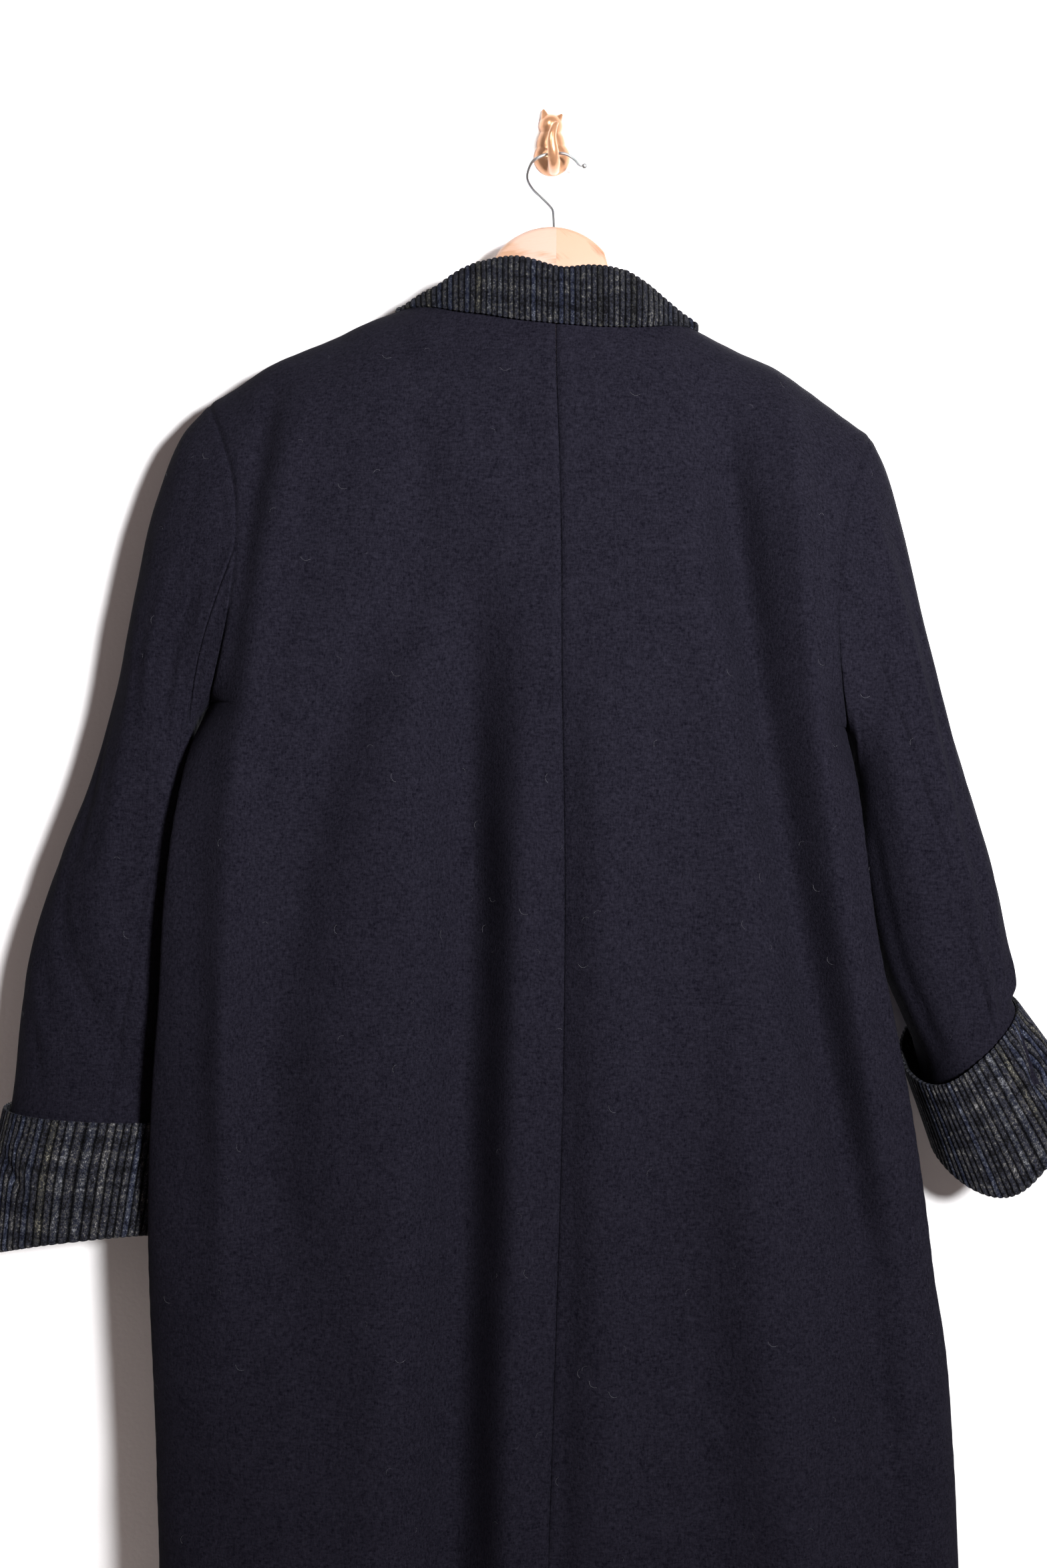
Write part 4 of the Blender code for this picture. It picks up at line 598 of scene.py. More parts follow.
# Lights: name, place, aimed at, size, spread in degrees and power. The hook light only reaches the
# wall hook, and the rear light is for views from behind the wall.
LIGHTS = (
    ("key", (1.0, -2.45, -0.25), (0.0, 0.0, 0.25), 0.45, 95, 67),
    ("hook", (-0.45, -1.0, 0.35), (0.0, 0.0, 0.02), 0.2, 14, 0.13),
    ("fill", (-1.6, -2.8, 0.6), (0.0, 0.0, -0.4), 2.0, 180, 2),
    ("rear", (0.6, 2.2, 0.4), (0.0, 0.0, -0.5), 1.6, 180, 110),
)
ROOM_COLOUR = (1.0, 0.76, 0.70)
ROOM_LIGHT = 0.14

# Camera
CAMERA_PLACE = (-0.0227, -1.761, -0.518)
CAMERA_LENS = 50.0
CAMERA_SENSOR = 36.0
CAMERA_CLIP = 0.05

# Stage
FLOOR_DOWN = 1.72
STAGE_HALF = 2.6            # half width of the wall, and half size of the floor
WALL_HIGH = 1.2
WALL_BEHIND = 0.0006        # the wall stays clear of the hook's flat back


def smooth(columns, key, name, at):
    """Smooth curve through one column of a table, over another column."""
    keys, values = columns[key], columns[name]
    at = np.clip(at, keys[0], keys[-1])
    slopes = np.gradient(values, keys)
    index = np.clip(np.searchsorted(keys, at) - 1, 0, len(keys) - 2)
    step = keys[index + 1] - keys[index]
    t = (at - keys[index]) / step
    start = (2 * t**3 - 3 * t**2 + 1) * values[index] + (t**3 - 2 * t**2 + t) * slopes[index] * step
    end = (3 * t**2 - 2 * t**3) * values[index + 1] + (t**3 - t**2) * slopes[index + 1] * step
    return start + end


def ease(low, high, at):
    """0 below low, 1 above high, and a soft step between."""
    t = np.clip((at - low) / (high - low), 0, 1)
    return t * t * (3 - 2 * t)


def blend(a, b, share):
    """From a to b by a share."""
    return a + (b - a) * share


def unit(vectors):
    """Vectors of length 1."""
    return vectors / np.maximum(np.linalg.norm(vectors, axis=-1, keepdims=True), 1e-12)


def fold_depth(folds, x, down):
    """How far the folds move a point of the cloth inwards."""
    total = np.zeros(np.broadcast(x, down).shape)
    for x1, down1, x2, down2, x3, down3, width, depth, length in zip(*folds.values()):
        run = (down - down1) / (down3 - down1)
        middle = (down2 - down1) / (down3 - down1)
        bend = (x2 - blend(x1, x3, middle)) / (middle * (1 - middle))
        line = blend(x1, x3, run) + bend * run * (1 - run)
        fade = ease(down1 - length, down1 + length, down)
        fade = fade * (1 - ease(down3 - length, down3 + length, down) * (down3 < TO_THE_HEM))
        total = total + depth * fade * np.exp(-((x - line) / width) ** 2)
    return total


def waves(across, along):
    """Soft unevenness of heavy cloth."""
    total = np.zeros(np.broadcast(across, along).shape)
    for wide, tall, height, slope, start in WAVES:
        phase = 2 * math.pi * (across / wide + along / tall * (1 + slope)) + start
        swing = 2 * math.pi * (along / tall - across / (WAVE_SWING * wide)) + WAVE_START * start
        crest = np.sin(phase + WAVE_BEND * np.sin(swing))
        total = total + height * crest * (1 - WAVE_FADE + WAVE_FADE * np.cos(swing))
    return total


def distances(points, axis):
    """Distance along the cloth from the first and from the last point of each line."""
    steps = np.linalg.norm(np.diff(points, axis=axis), axis=-1)
    total = np.cumsum(steps, axis=axis)
    start = np.zeros_like(np.take(total, [0], axis=axis))
    first = np.concatenate([start, total], axis=axis)
    return first, np.take(first, [-1], axis=axis) - first


def seam_dip(distance, along):
    """How far the cloth dips into a seam, with a pad of seam allowance and a light pucker."""
    groove = SEAM_DEEP * np.exp(-((distance / SEAM_WIDE) ** 2))
    beside = (distance - PAD_AWAY * SEAM_WIDE) / (PAD_WIDE * SEAM_WIDE)
    pad = SEAM_PAD * np.exp(-(beside ** 2))
    drift, slowness = PUCKER_DRIFT
    wander = np.sin(2 * math.pi * along / PUCKER + drift * np.sin(along / (slowness * PUCKER)))
    near = np.exp(-((distance / (PUCKER_WIDE * SEAM_WIDE)) ** 2))
    return groove - pad + SEAM_PAD * PUCKER_HIGH * wander * near


def edge_line(side, grid):
    """Outer edge of the body's panels, row by row: armhole first, then side seam."""
    data, low = SIDES[side], LOW_SHARES[grid]
    turn = np.linspace(0, 1, ARM_STEPS_DOWN[grid] + 1)
    share = (1 - np.cos(math.pi * turn)) / 2
    arm_down = blend(data["tip"][1], data["under"][1], share)
    middle = blend(SHOULDER_Y, UNDERARM_Y, share)
    belly = np.sin(math.pi * turn) ** ARMHOLE_FULL
    low_down = blend(data["under"][1], HEM[side], low)
    low_x = smooth(data["outline"], "down", "x", low_down)
    low_y = smooth(SIDE, "below", "depth", low_down - data["under"][1])
    arm_back = smooth(data["armhole"], "turn", "back", turn)
    arm_front = smooth(data["armhole"], "turn", "front", turn)
    return {
        "down": np.concatenate([arm_down, low_down]),
        "share": np.concatenate([share, np.ones(len(low))]),
        "back_x": np.concatenate([arm_back, low_x]),
        "back_y": np.concatenate([middle - ARMHOLE_BACK * belly, low_y]),
        "front_x": np.concatenate([arm_front, low_x]),
        "front_y": np.concatenate([middle + ARMHOLE_FRONT * belly, low_y]),
    }


def beside_underarm(edge, grid):
    """The back edge's depths without its dip to the underarm, for the cloth beside it."""
    start = round(UNDERARM_FROM * ARM_STEPS_DOWN[grid])
    stop = np.argmax(edge["down"] > edge["down"][ARM_STEPS_DOWN[grid]] + UNDERARM_TO)
    ends = [start, stop]
    level = np.interp(edge["down"], edge["down"][ends], edge["back_y"][ends])
    inside = (np.arange(len(edge["down"])) > start) & (np.arange(len(edge["down"])) < stop)
    return np.where(inside, level, edge["back_y"])


def neck_drop(x, side, deepest):
    """How far the neckline lies below the bridged top line."""
    seam = CENTRE["seam"][0]
    point = blend(seam, SIDES[side]["tip"][0], NECK_SHARE)
    share = np.clip(np.abs((x - seam) / (point - seam)), 0, 1)
    return deepest * np.sqrt(1 - share**2)


@functools.lru_cache(maxsize=None)
def body_grid(side, face, grid):
    """Outer points of one back or front panel, as rows from the top down."""
    edge = edge_line(side, grid)
    back = face == "back"
    shares = SHARES[grid][face]
    edge_x, edge_y = edge[face + "_x"], edge[face + "_y"]
    seam0 = CENTRE["seam"][0]
    top_x = seam0 + shares * (SIDES[side]["tip"][0] - seam0)
    inside = np.abs(shares)
    drop = neck_drop(top_x, side, NECK_DROP_BACK if back else NECK_DROP_FRONT)
    top = smooth(TOP_LINE, "x", "down", top_x) + np.where(inside < NECK_SHARE, drop, 0)
    under = blend(CENTRE_UNDER, SIDES[side]["under"][1], inside**2)
    hem = blend(HEM["centre"], HEM[side], inside)
    arm = top + edge["share"][:ARM_STEPS_DOWN[grid] + 1, None] * (under - top)
    low = under + LOW_SHARES[grid][:, None] * (hem - under)
    down = np.concatenate([arm, low])
    seam = smooth(CENTRE, "down", "seam", down)
    x = seam + shares * (edge_x[:, None] - seam)
    height = np.maximum(down - smooth(TOP_LINE, "x", "down", x), 0)
    below = (edge["down"] - SIDES[side]["under"][1])[:, None]
    flat = smooth(CENTRE, "down", face, down)
    rounding = ROUND_BACK if back else ROUND_FRONT
    centre = SHOULDER_Y + (flat - SHOULDER_Y) * np.sqrt(1 - np.exp(-height / rounding))
    started = ease(0, TOP_ROUND, height)
    if back:
        plain = inside ** ROUNDS["back"]
        rounded = 1 - np.sqrt(np.maximum(1 - plain, 0))
        turn = blend(plain, rounded, ease(*SIDE_FULL, below))
        beside = beside_underarm(edge, grid)
        y = blend(centre, beside[:, None], turn) + (edge_y - beside)[:, None] * inside**UNDERARM_POWER
        calm = (1 - inside ** ROUNDS["folds"]) * started
        y = y + FOLD_GAIN * fold_depth(BACK_FOLDS, x, down) * calm
    else:
        flat_share = smooth(SIDE, "below", "flat", below)
        turned_share = smooth(SIDE, "below", "turned", below)
        turn = ease(flat_share, turned_share, inside)
        rounded = np.sqrt(np.maximum(1 - inside ** ROUNDS["front"], 0))
        y = blend(centre, edge_y[:, None], turn)
        y = y + ease(*FRONT_FULL, below) * SIDE_ROUND * rounded * turn
        calm = (1 - turn) * started
        y = y + fold_depth(FRONT_FOLDS, x, down) * calm
        if side == "right":
            y = y + OVERLAP_LIFT * (1 - ease(*OVERLAP_FADE, shares)) * ease(*OVERLAP_TOP, height)
    return np.stack([x, y, -down], axis=-1)


def grid_normals(points, outward):
    """Unit normals of a grid, turned to the side that the outward vector points to."""
    normal = unit(np.cross(np.gradient(points, axis=0), np.gradient(points, axis=1)))
    facing = np.sign(np.sum(normal * outward, axis=-1))
    return normal * np.sign(np.sum(facing))


def body_panel(side, face):
    """Outer and inner points of one back or front panel, and its flat map."""
    outer = body_grid(side, face, "cloth").copy()
    arm_rows = ARM_STEPS_DOWN["cloth"]
    shares = SHARES["cloth"][face]
    facing = -1 if face == "back" else 1
    sign = SIDES[side]["sign"]
    normal = grid_normals(outer, np.array([0, facing, 0]))
    ring = armhole_normals(side)
    arm = ring[:arm_rows + 1] if face == "back" else ring[arm_rows:][::-1]
    normal[:arm_rows + 1, -1] = arm
    normal[arm_rows + 1:, -1] = (sign, 0, 0)
    neck_point = np.argmin(np.abs(shares - NECK_SHARE))
    run = np.gradient(outer[0, :, 2], outer[0, :, 0])
    upward = unit(np.stack([-run, np.zeros_like(run), np.ones_like(run)], axis=-1))
    normal[0, neck_point:-1] = upward[neck_point:-1]
    if face == "back":
        along = unit(np.gradient(outer[:, 0], axis=0))
        room = np.array([0, -1.0, 0])
        normal[:, 0] = unit(room - along * np.sum(along * room, axis=-1, keepdims=True))
    inner = outer - WOOL * normal
    seam_depth = outer[arm_rows:, -1:, 1] * facing
    inner[arm_rows:, :, 1] = np.maximum(inner[arm_rows:, :, 1] * facing, seam_depth) * facing
    inner[arm_rows, -1, 1] += facing * UNDERARM_ROOM
    from_centre, from_edge = distances(outer, 1)
    from_top = distances(outer, 0)[0]
    calm = ease(0, CALM_TOP, from_top) * ease(0, CALM_SIDE, from_edge)
    lift = waves(outer[..., 0], outer[..., 2]) * calm
    lift = lift - seam_dip(from_edge, from_top) - seam_dip(from_top, from_centre) * (shares > NECK_SHARE)
    if face == "back":
        lift = lift - seam_dip(from_centre, from_top)
    outer = outer + normal * lift[..., None]
    half_gap = np.zeros_like(outer)
    if face == "back":
        half_gap[:, 0, 0] += sign * SEAM_GAP / 2
    half_gap[0, neck_point:, 1] += facing * SEAM_GAP / 2
    half_gap[arm_rows:, -1, 1] += facing * SEAM_GAP / 2
    half_gap[arm_rows, -1, 1] += facing * SEAM_GAP / 2      # the underarm has both gaps
    half_gap[:arm_rows + 1, -1, 0] -= sign * SEAM_GAP / 2
    flat = np.stack([sign * from_centre, outer[..., 2]], axis=-1)
    return outer + half_gap, inner + half_gap, flat


def with_wrist(side):
    """The sleeve's table with its last rings inside the cuff's, and its end above the cuff's."""
    cuff, sleeve = CUFFS[side], SLEEVES[side]
    outer, inner = (np.stack([cuff[end + "_x"], cuff[end + "_down"]], axis=-1)
                    for end in ("outer", "inner"))
    across = unit(outer - inner)
    along = np.stack([-across[:, 1], across[:, 0]], axis=-1)
    along = along * np.sign(along[:, 1:])
    rise = along * (cuff["share"] * WRIST_RISE)[:, None]
    outer = outer - across * cuff["inset"][:, None] - rise
    inner = inner + across * (cuff["inset"] + cuff["tuck"])[:, None] - rise
    hind, fore = WRIST_SEAMS[side]
    hidden = {
        "share": blend(CUFF_FROM[side], 1, cuff["share"]),
        "outer_x": outer[:, 0], "outer_down": outer[:, 1],
        "inner_x": inner[:, 0], "inner_down": inner[:, 1],
        "near": cuff["near"] + cuff["inset"], "far": cuff["far"] - cuff["inset"],
        "dip": cuff["dip"], "skew": cuff["skew"], "rise": cuff["rise"],
        "hind": blend(sleeve["hind"][-1], hind, cuff["share"]),
        "fore": blend(sleeve["fore"][-1], fore, cuff["share"]),
    }
    plain = np.zeros_like(sleeve["share"])
    open_part = {**sleeve, "skew": plain, "rise": plain}
    return {name: np.append(values, hidden[name]) for name, values in open_part.items()}


def ring_frame(columns, share):
    """Middle, half widths and directions of sleeve or cuff rings."""
    used = ("outer_x", "outer_down", "inner_x", "inner_down", "near", "far", "dip", "skew", "rise")
    value = {name: smooth(columns, "share", name, share) for name in used}
    level = np.zeros_like(share)
    outer, inner = (np.stack([value[end + "_x"], level, -value[end + "_down"]], axis=-1)
                    for end in ("outer", "inner"))
    across = unit(outer - inner)
    along = np.cross(across, np.array([0.0, 1.0, 0.0]))
    along = along * -np.sign(along[:, 2:3])
    middle = (outer + inner) / 2
    middle[..., 1] = (value["near"] + value["far"]) / 2
    return {
        "middle": middle,
        "half": np.linalg.norm(outer - inner, axis=-1) / 2,
        "deep": (value["far"] - value["near"]) / 2,
        "across": across,
        "along": along,
        **{name: value[name] for name in ("dip", "skew", "rise")},
    }


def ring_points(columns, share, angle):
    """Points of rings at the given shares, at angles from their outer end towards the room."""
    ring = ring_frame(columns, share)
    cos, sin = np.cos(angle), np.sin(angle)
    wide = np.sign(cos) * np.abs(cos) ** RING_POWER * ring["half"][:, None]
    near = np.sign(sin) * np.abs(sin) ** RING_POWER * ring["deep"][:, None]
    points = ring["middle"][:, None, :] + ring["across"][:, None, :] * wide[..., None]
    room_side, wall_side = (1 + sin)**2 / 4, (1 - sin)**2 / 4
    hang = room_side * (ring["dip"][:, None] + 2 * ring["skew"][:, None] * cos)
    hang = hang - wall_side * ring["rise"][:, None]
    points = points + ring["along"][:, None, :] * hang[..., None]
    points[..., 1] -= near
    return points


def ring_normals(columns, share, angle):
    """Outward directions of the same rings."""
    ring = ring_frame(columns, share)
    wide = np.cos(angle) / ring["half"][:, None]
    near = np.sin(angle) / ring["deep"][:, None]
    normal = ring["across"][:, None, :] * wide[..., None]
    normal[..., 1] -= near
    return unit(normal)


def armhole_normals(side):
    """Outward directions round the armhole, tip first, by the back, then by the front."""
    angle = 2 * math.pi * np.arange(RING + 1) / RING
    return ring_normals(with_wrist(side), np.zeros(1), angle[None, :])[0]


def sleeve_points(side, share, angle):
    """Outer points of a sleeve: the armhole's own shape, fading into plain rings."""
    columns = with_wrist(side)
    points = ring_points(columns, share, angle)
    edge = edge_line(side, "cloth")
    arm = slice(0, ARM_STEPS_DOWN["cloth"] + 1)
    back, front = (np.stack([edge[f"{face}_x"], edge[f"{face}_y"], -edge["down"]], axis=-1)[arm]
                   for face in ("back", "front"))
    hole = np.concatenate([back, front[-2::-1]])
    even = 2 * math.pi * np.arange(RING + 1) / RING
    plain = ring_points(columns, np.zeros(1), even[None, :])[0]
    wrapped = np.mod(angle, 2 * math.pi)
    fade = np.clip(1 - share / ARMHOLE_REACH, 0, 1)[:, None] ** 2
    for axis in range(3):
        shift = np.interp(wrapped, even, hole[:, axis] - plain[:, axis])
        points[..., axis] += shift * fade
    return points


def crease_lift(creases, share, turn):
    """How far creases on a ring stand out, by share along it and turn round it."""
    total = np.zeros(np.broadcast(share, turn).shape)
    for share1, turn1, share2, turn2, wide, out, length in zip(*creases.values()):
        line = blend(turn1, turn2, (share - share1) / (share2 - share1))
        away = np.mod(turn - line + 0.5, 1) - 0.5
        fade = ease(share1 - length, share1 + length, share)
        fade = fade * (1 - ease(share2 - length, share2 + length, share))
        total = total + out * fade * np.exp(-((away / wide) ** 2))
    return total


def edge_steps(count):
    """Steps from 0 to 1, close together near both ends."""
    middle = np.linspace(SLEEVE_EDGES[-1], 1 - SLEEVE_EDGES[-1], count)
    return np.concatenate([SLEEVE_EDGES[:-1], middle, 1 - SLEEVE_EDGES[-2::-1]])


def sleeve_panel(side, part):
    """Outer and inner points of the top or under sleeve, from armhole to wrist, and its map."""
    columns = with_wrist(side)
    shown = np.linspace(0, 1, SLEEVE_ROWS + 1) ** ROW_POWER * CUFF_FROM[side]
    share = np.concatenate([shown, np.linspace(CUFF_FROM[side], 1, HIDDEN_ROWS + 1)[1:]])
    hind = smooth(columns, "share", "hind", share)
    fore = smooth(columns, "share", "fore", share)
    if part == "top":
        count = HIND_COLUMNS + FORE_COLUMNS
        start, stop = hind, fore - 1
    else:
        count = RING - HIND_COLUMNS - FORE_COLUMNS
        start, stop = hind, fore
    turn = start[:, None] + edge_steps(count) * (stop - start)[:, None]
    angle = 2 * math.pi * turn
    outer = sleeve_points(side, share, angle)
    normal = ring_normals(columns, share, angle)
    inner = outer - WOOL * normal
    across = unit(np.gradient(outer, axis=1))
    from_first, from_last = distances(outer, 1)
    from_armhole = distances(outer, 0)[0]
    hides = CUFF_FROM[side]
    calm = ease(*SLEEVE_CALM, share) * (1 - ease(hides - CUFF_CALM[0], hides - CUFF_CALM[1], share))
    closer, slant = SLEEVE_WAVES
    uneven = waves(from_first * closer, from_armhole + from_first * slant)
    lift = (crease_lift(SLEEVE_CREASES[side], share[:, None], turn) + uneven) * calm[:, None]
    shown_part = (1 - ease(hides - CUFF_HIDES, hides + CUFF_HIDES, share))[:, None]
    seam_lift = seam_dip(from_first, from_armhole) + seam_dip(from_last, from_armhole)
    lift = lift - seam_lift * shown_part - seam_dip(from_armhole, from_first)
    outer = outer + normal * lift[..., None]
    shift = np.zeros_like(outer)
    shift[:, 0] += across[:, 0] * SEAM_GAP / 2
    shift[:, -1] -= across[:, -1] * SEAM_GAP / 2
    below = np.maximum(-np.cos(angle[0]), 0) ** 2
    shift[0, :, 0] += SIDES[side]["sign"] * (SEAM_GAP / 2 + UNDERARM_EASE * below)
    flat = np.stack([from_first * np.sign(stop - start)[:, None], -from_armhole], axis=-1)
    return outer + shift, inner + shift, flat


def wale_profile(columns):
    """Heights across corduroy wales, 0 in the grooves and 1 on top, for points by column."""
    across = np.arange(columns) % WALE_STEPS / WALE_STEPS
    return np.sin(math.pi * across) ** WALE_FULL


def cuff_walls(side):
    """Outer and inner points of a cuff, with its bottom turned in, and its map."""
    columns = CUFFS[side]
    wales = CUFF_WALES[side]
    count = WALE_STEPS * wales
    corner = np.linspace(0, math.pi / 2, TURN_STEPS + 1)[1:]
    straight = np.linspace(0, TURN_FROM, CUFF_ROWS + 1)
    share = np.concatenate([straight, TURN_FROM + (1 - TURN_FROM) * np.sin(corner)])
    tucked = np.concatenate([np.zeros(CUFF_ROWS + 1), 1 - np.cos(corner)])
    turn = np.broadcast_to(np.arange(count) / count, (len(share), count))
    angle = 2 * math.pi * turn
    normal = ring_normals(columns, share, angle)
    plain = ring_points(columns, share, angle)
    dents = crease_lift(CUFF_DENTS[side], share[:, None], turn) * (1 - tucked[:, None])
    profile = wale_profile(count)
    rounded = np.sqrt(np.clip(share / CUFF_CUT, LOWEST_WALE, 1))
    wale = profile * WALE_HEIGHT * (rounded * (1 - CUFF_FLAT * tucked))[:, None]
    valley = plain + normal * (dents - tucked[:, None] * CUFF_TURN)[..., None]
    outer = valley + normal * wale[..., None]
    along = ring_frame(columns, share)["along"][:, None, :]
    sooner, strength = SCALLOP_TURN
    bottom = np.clip(tucked * sooner, 0, 1) * (1 - tucked) * strength
    ends = bottom - np.clip(1 - share / SCALLOP_SHARE, 0, 1)
    outer = outer + along * (ends[:, None] * profile * SCALLOP)[..., None]
    lift = np.where(share > TURN_FROM - CUFF_INSIDE, CORD_BACKING, 0.0)
    inner = valley - normal * CORD_BACKING - along * lift[:, None, None]
    return outer, inner, wale_map(plain)


def wale_map(points):
    """Flat map of corduroy: the number of wales across, and minus the distance down the cloth."""
    across = np.arange(points.shape[1]) / WALE_STEPS
    down = distances(points, 0)[0]
    return np.stack([np.broadcast_to(across, down.shape), -down], axis=-1)


def panel_line(side, face, x):
    """Depths and downs of a panel's outer face above and below one x, from the top."""
    line = []
    for row in body_grid(side, face, "form"):
        row = row[np.argsort(row[:, 0])]
        line.append([np.interp(x, row[:, 0], row[:, axis]) for axis in (1, 2)])
    depth, height = np.array(line).T
    return depth, -height


def depth_on(face, x, down):
    """Depth of the outermost back or front panel at one place."""
    found = []
    for side, data in SIDES.items():
        past = (x - CENTRE["seam"][0]) * data["sign"]
        reach = OVERLAP_REACH if face == "front" and side == "right" else 0
        if past >= -reach:
            depth, downs = panel_line(side, face, x)
            found.append(np.interp(down, downs, depth))
    return max(found) if face == "front" else min(found)


@functools.lru_cache(maxsize=None)
def collar_grid():
    """Inner points of the collar's leaf, and which of its cells are there."""
    left, right = COLLAR_ENDS
    x = np.linspace(left, right, WALE_STEPS * COLLAR_WALES + 1)
    value = {name: smooth(COLLAR, "x", name, x) for name in COLLAR if name != "x"}

    def lying(face, down, off):
        return np.array([depth_on(face, place, low) for place, low in zip(x, down)]) + off

    def points(depth, down):
        return np.stack([x, depth, -down], axis=-1)

    fore_down, front_down = value["fore_down"], value["front_down"]
    low_down = blend(fore_down, front_down, 0.5)
    edge = points(lying("back", value["edge_down"], -LEAF_LIFT), value["edge_down"])
    roll = points(value["roll"], value["roll_down"])
    top = points(value["top"], value["top_down"])
    fore = points(value["fore"], fore_down)
    front = points(lying("front", front_down, LIE_GAP), front_down)
    fore_low = points(np.maximum(lying("front", low_down, LIE_GAP), value["fore"]), low_down)
    bow = ease(0, SWELL_OVER, fore_down - value["top_down"])
    swell = np.array([0, -LEAF_SWELL, 0]) * bow[:, None]
    lower, upper = (blend(edge, roll, place) + swell for place in SWELL_SHARES)
    lines = np.stack([edge, lower, upper, roll, blend(roll, top, 0.5), top, fore, fore_low, front])
    grid = through_rows(lines, COLLAR_ROWS)
    coarse = x[::2 * WALE_STEPS]
    middle = (coarse[:-1] + coarse[1:]) / 2
    keep = np.ones((len(lines) - 1, len(middle)), bool)
    keep[ROLL_ROW:FORE_ROW, np.abs(middle) < NECK_SIDE] = False
    keep[ROLL_ROW:, np.abs(middle - CENTRE["seam"][0]) < COLLAR_SLIT] = False
    keep = np.repeat(np.repeat(keep, COLLAR_ROWS, axis=0), 2 * WALE_STEPS, axis=1)
    return grid, keep


def through_rows(lines, count):
    """Rows on smooth curves through the given rows, count steps from each to the next."""
    lines = np.array(lines, float)
    padded = np.concatenate([2 * lines[:1] - lines[1:2], lines, 2 * lines[-1:] - lines[-2:-1]])
    rows = []
    for p0, p1, p2, p3 in zip(padded, padded[1:], padded[2:], padded[3:]):
        for t in np.arange(count) / count:
            rows.append(0.5 * (2 * p1 + (p2 - p0) * t + (2 * p0 - 5 * p1 + 4 * p2 - p3) * t**2
                               + (3 * p1 - p0 - 3 * p2 + p3) * t**3))
    rows.append(lines[-1])
    return np.array(rows)


def collar_leaf():
    """Outer and inner points of the leaf, its map, and which of its cells are there."""
    grid, keep = collar_grid()
    normal = grid_normals(grid, np.array([0, 0, 1.0]))
    rows, columns = grid.shape[:2]
    profile = wale_profile(columns)
    place = np.arange(rows) / COLLAR_ROWS
    from_ends = np.minimum(place, place[-1] - place)
    rounded = np.sqrt(np.clip(from_ends * COLLAR_CUT, LOWEST_WALE, 1))
    dents = -fold_depth(COLLAR_DENTS, grid[..., 0], -grid[..., 2]) * (place < ROLL_ROW)[:, None]
    thick = CORD_BACKING + profile * WALE_HEIGHT * rounded[:, None] + dents
    outer = grid + normal * thick[..., None]
    ends = (np.clip(1 - place / SCALLOP_ROWS, 0, 1)
            + np.clip(1 - (place[-1] - place) / SCALLOP_ROWS, 0, 1))
    outer[..., 2] -= ends[:, None] * profile * SCALLOP
    inner = grid + normal * (dents * (place > DENTS_INSIDE)[:, None])[..., None]
    return outer, inner, wale_map(grid), keep


def even_steps(path, count):
    """Points spread evenly along a bent line."""
    path = np.array(path)
    length = np.concatenate([[0], np.cumsum(np.linalg.norm(np.diff(path, axis=0), axis=1))])
    at = np.linspace(0, length[-1], count + 1)
    return np.stack([np.interp(at, length, path[:, axis]) for axis in range(3)], axis=-1)


def stand_top():
    """Three stretches of the leaf's opening: left front, back and right front."""
    grid, keep = collar_grid()
    roll, top, fore = (row * COLLAR_ROWS for row in (ROLL_ROW, TOP_ROW, FORE_ROW))
    open_back = np.flatnonzero(~keep[roll])
    open_front = np.flatnonzero(~keep[fore])
    first, last = open_back[0], open_back[-1] + 1
    slit = (open_front[0], open_front[-1] + 1)
    left = [grid[fore, column] for column in range(slit[0], first, -1)]
    left += [grid[row, first] for row in range(fore, top - 1, -1)]
    back = [grid[row, first] for row in range(top, roll, -1)]
    back += [grid[roll, column] for column in range(first, last + 1)]
    back += [grid[row, last] for row in range(roll + 1, top + 1)]
    right = [grid[row, last] for row in range(top, fore + 1)]
    right += [grid[fore, column] for column in range(last - 1, slit[1] - 1, -1)]
    return left, back, right


def stand_bottom():
    """The same stretches of the trunk's neckline."""
    neck = {}
    for side, data in SIDES.items():
        for face in ("back", "front"):
            count = np.argmin(np.abs(SHARES["cloth"][face] - NECK_SHARE)) + 1
            neck[face, side] = body_grid(side, face, "cloth")[0, :count]
        front = neck["front", side]
        start = CENTRE["seam"][0] + data["sign"] * STAND_SLIT
        beyond = front[(front[:, 0] - start) * data["sign"] > 0]
        order = np.argsort(front[:, 0])
        height = np.interp(start, front[order, 0], front[order, 2])
        depth = np.interp(start, front[order, 0], front[order, 1])
        neck["front", side] = np.vstack([[start, depth, height], beyond])
    back = np.vstack([neck["back", "left"][::-1], neck["back", "right"][1:]])
    return neck["front", "left"], back, neck["front", "right"][::-1]


def collar_stand():
    """Band between the neckline and the leaf's opening, open at the front."""
    tops, bottoms = [], []
    for top, bottom, count in zip(stand_top(), stand_bottom(), STAND_SPANS):
        tops.append(even_steps(top, count)[bool(tops):])
        bottoms.append(even_steps(bottom, count)[bool(bottoms):])
    top, bottom = np.concatenate(tops), np.concatenate(bottoms)
    axis = np.array([NECK_AXIS[0], NECK_AXIS[1], 0])

    def inward(points):
        return unit((axis - points) * (1, 1, 0))

    top = top + inward(top) * STAND_CLEAR - (0, 0, SEAM_GAP)
    bottom = bottom + (0, 0, SEAM_GAP + STAND_RISE)
    outer = np.stack([blend(top, bottom, row / STAND_ROWS) for row in range(STAND_ROWS + 1)])
    inner = outer + inward(outer) * STAND_WALL
    flat = np.stack([distances(outer, 1)[0] / WALE_WIDE, -distances(outer, 0)[0]], axis=-1)
    return outer, inner, flat


def pinch_edge(outer, inner, edge, amounts):
    """Rounds a cut edge: brings both faces towards each other on its first lines."""
    for line, amount in enumerate(amounts):
        at = (slice(None), line) if edge == "first column" else (-1 - line,)
        toward = unit(inner[at] - outer[at]) * amount
        outer[at] += toward
        inner[at] -= toward


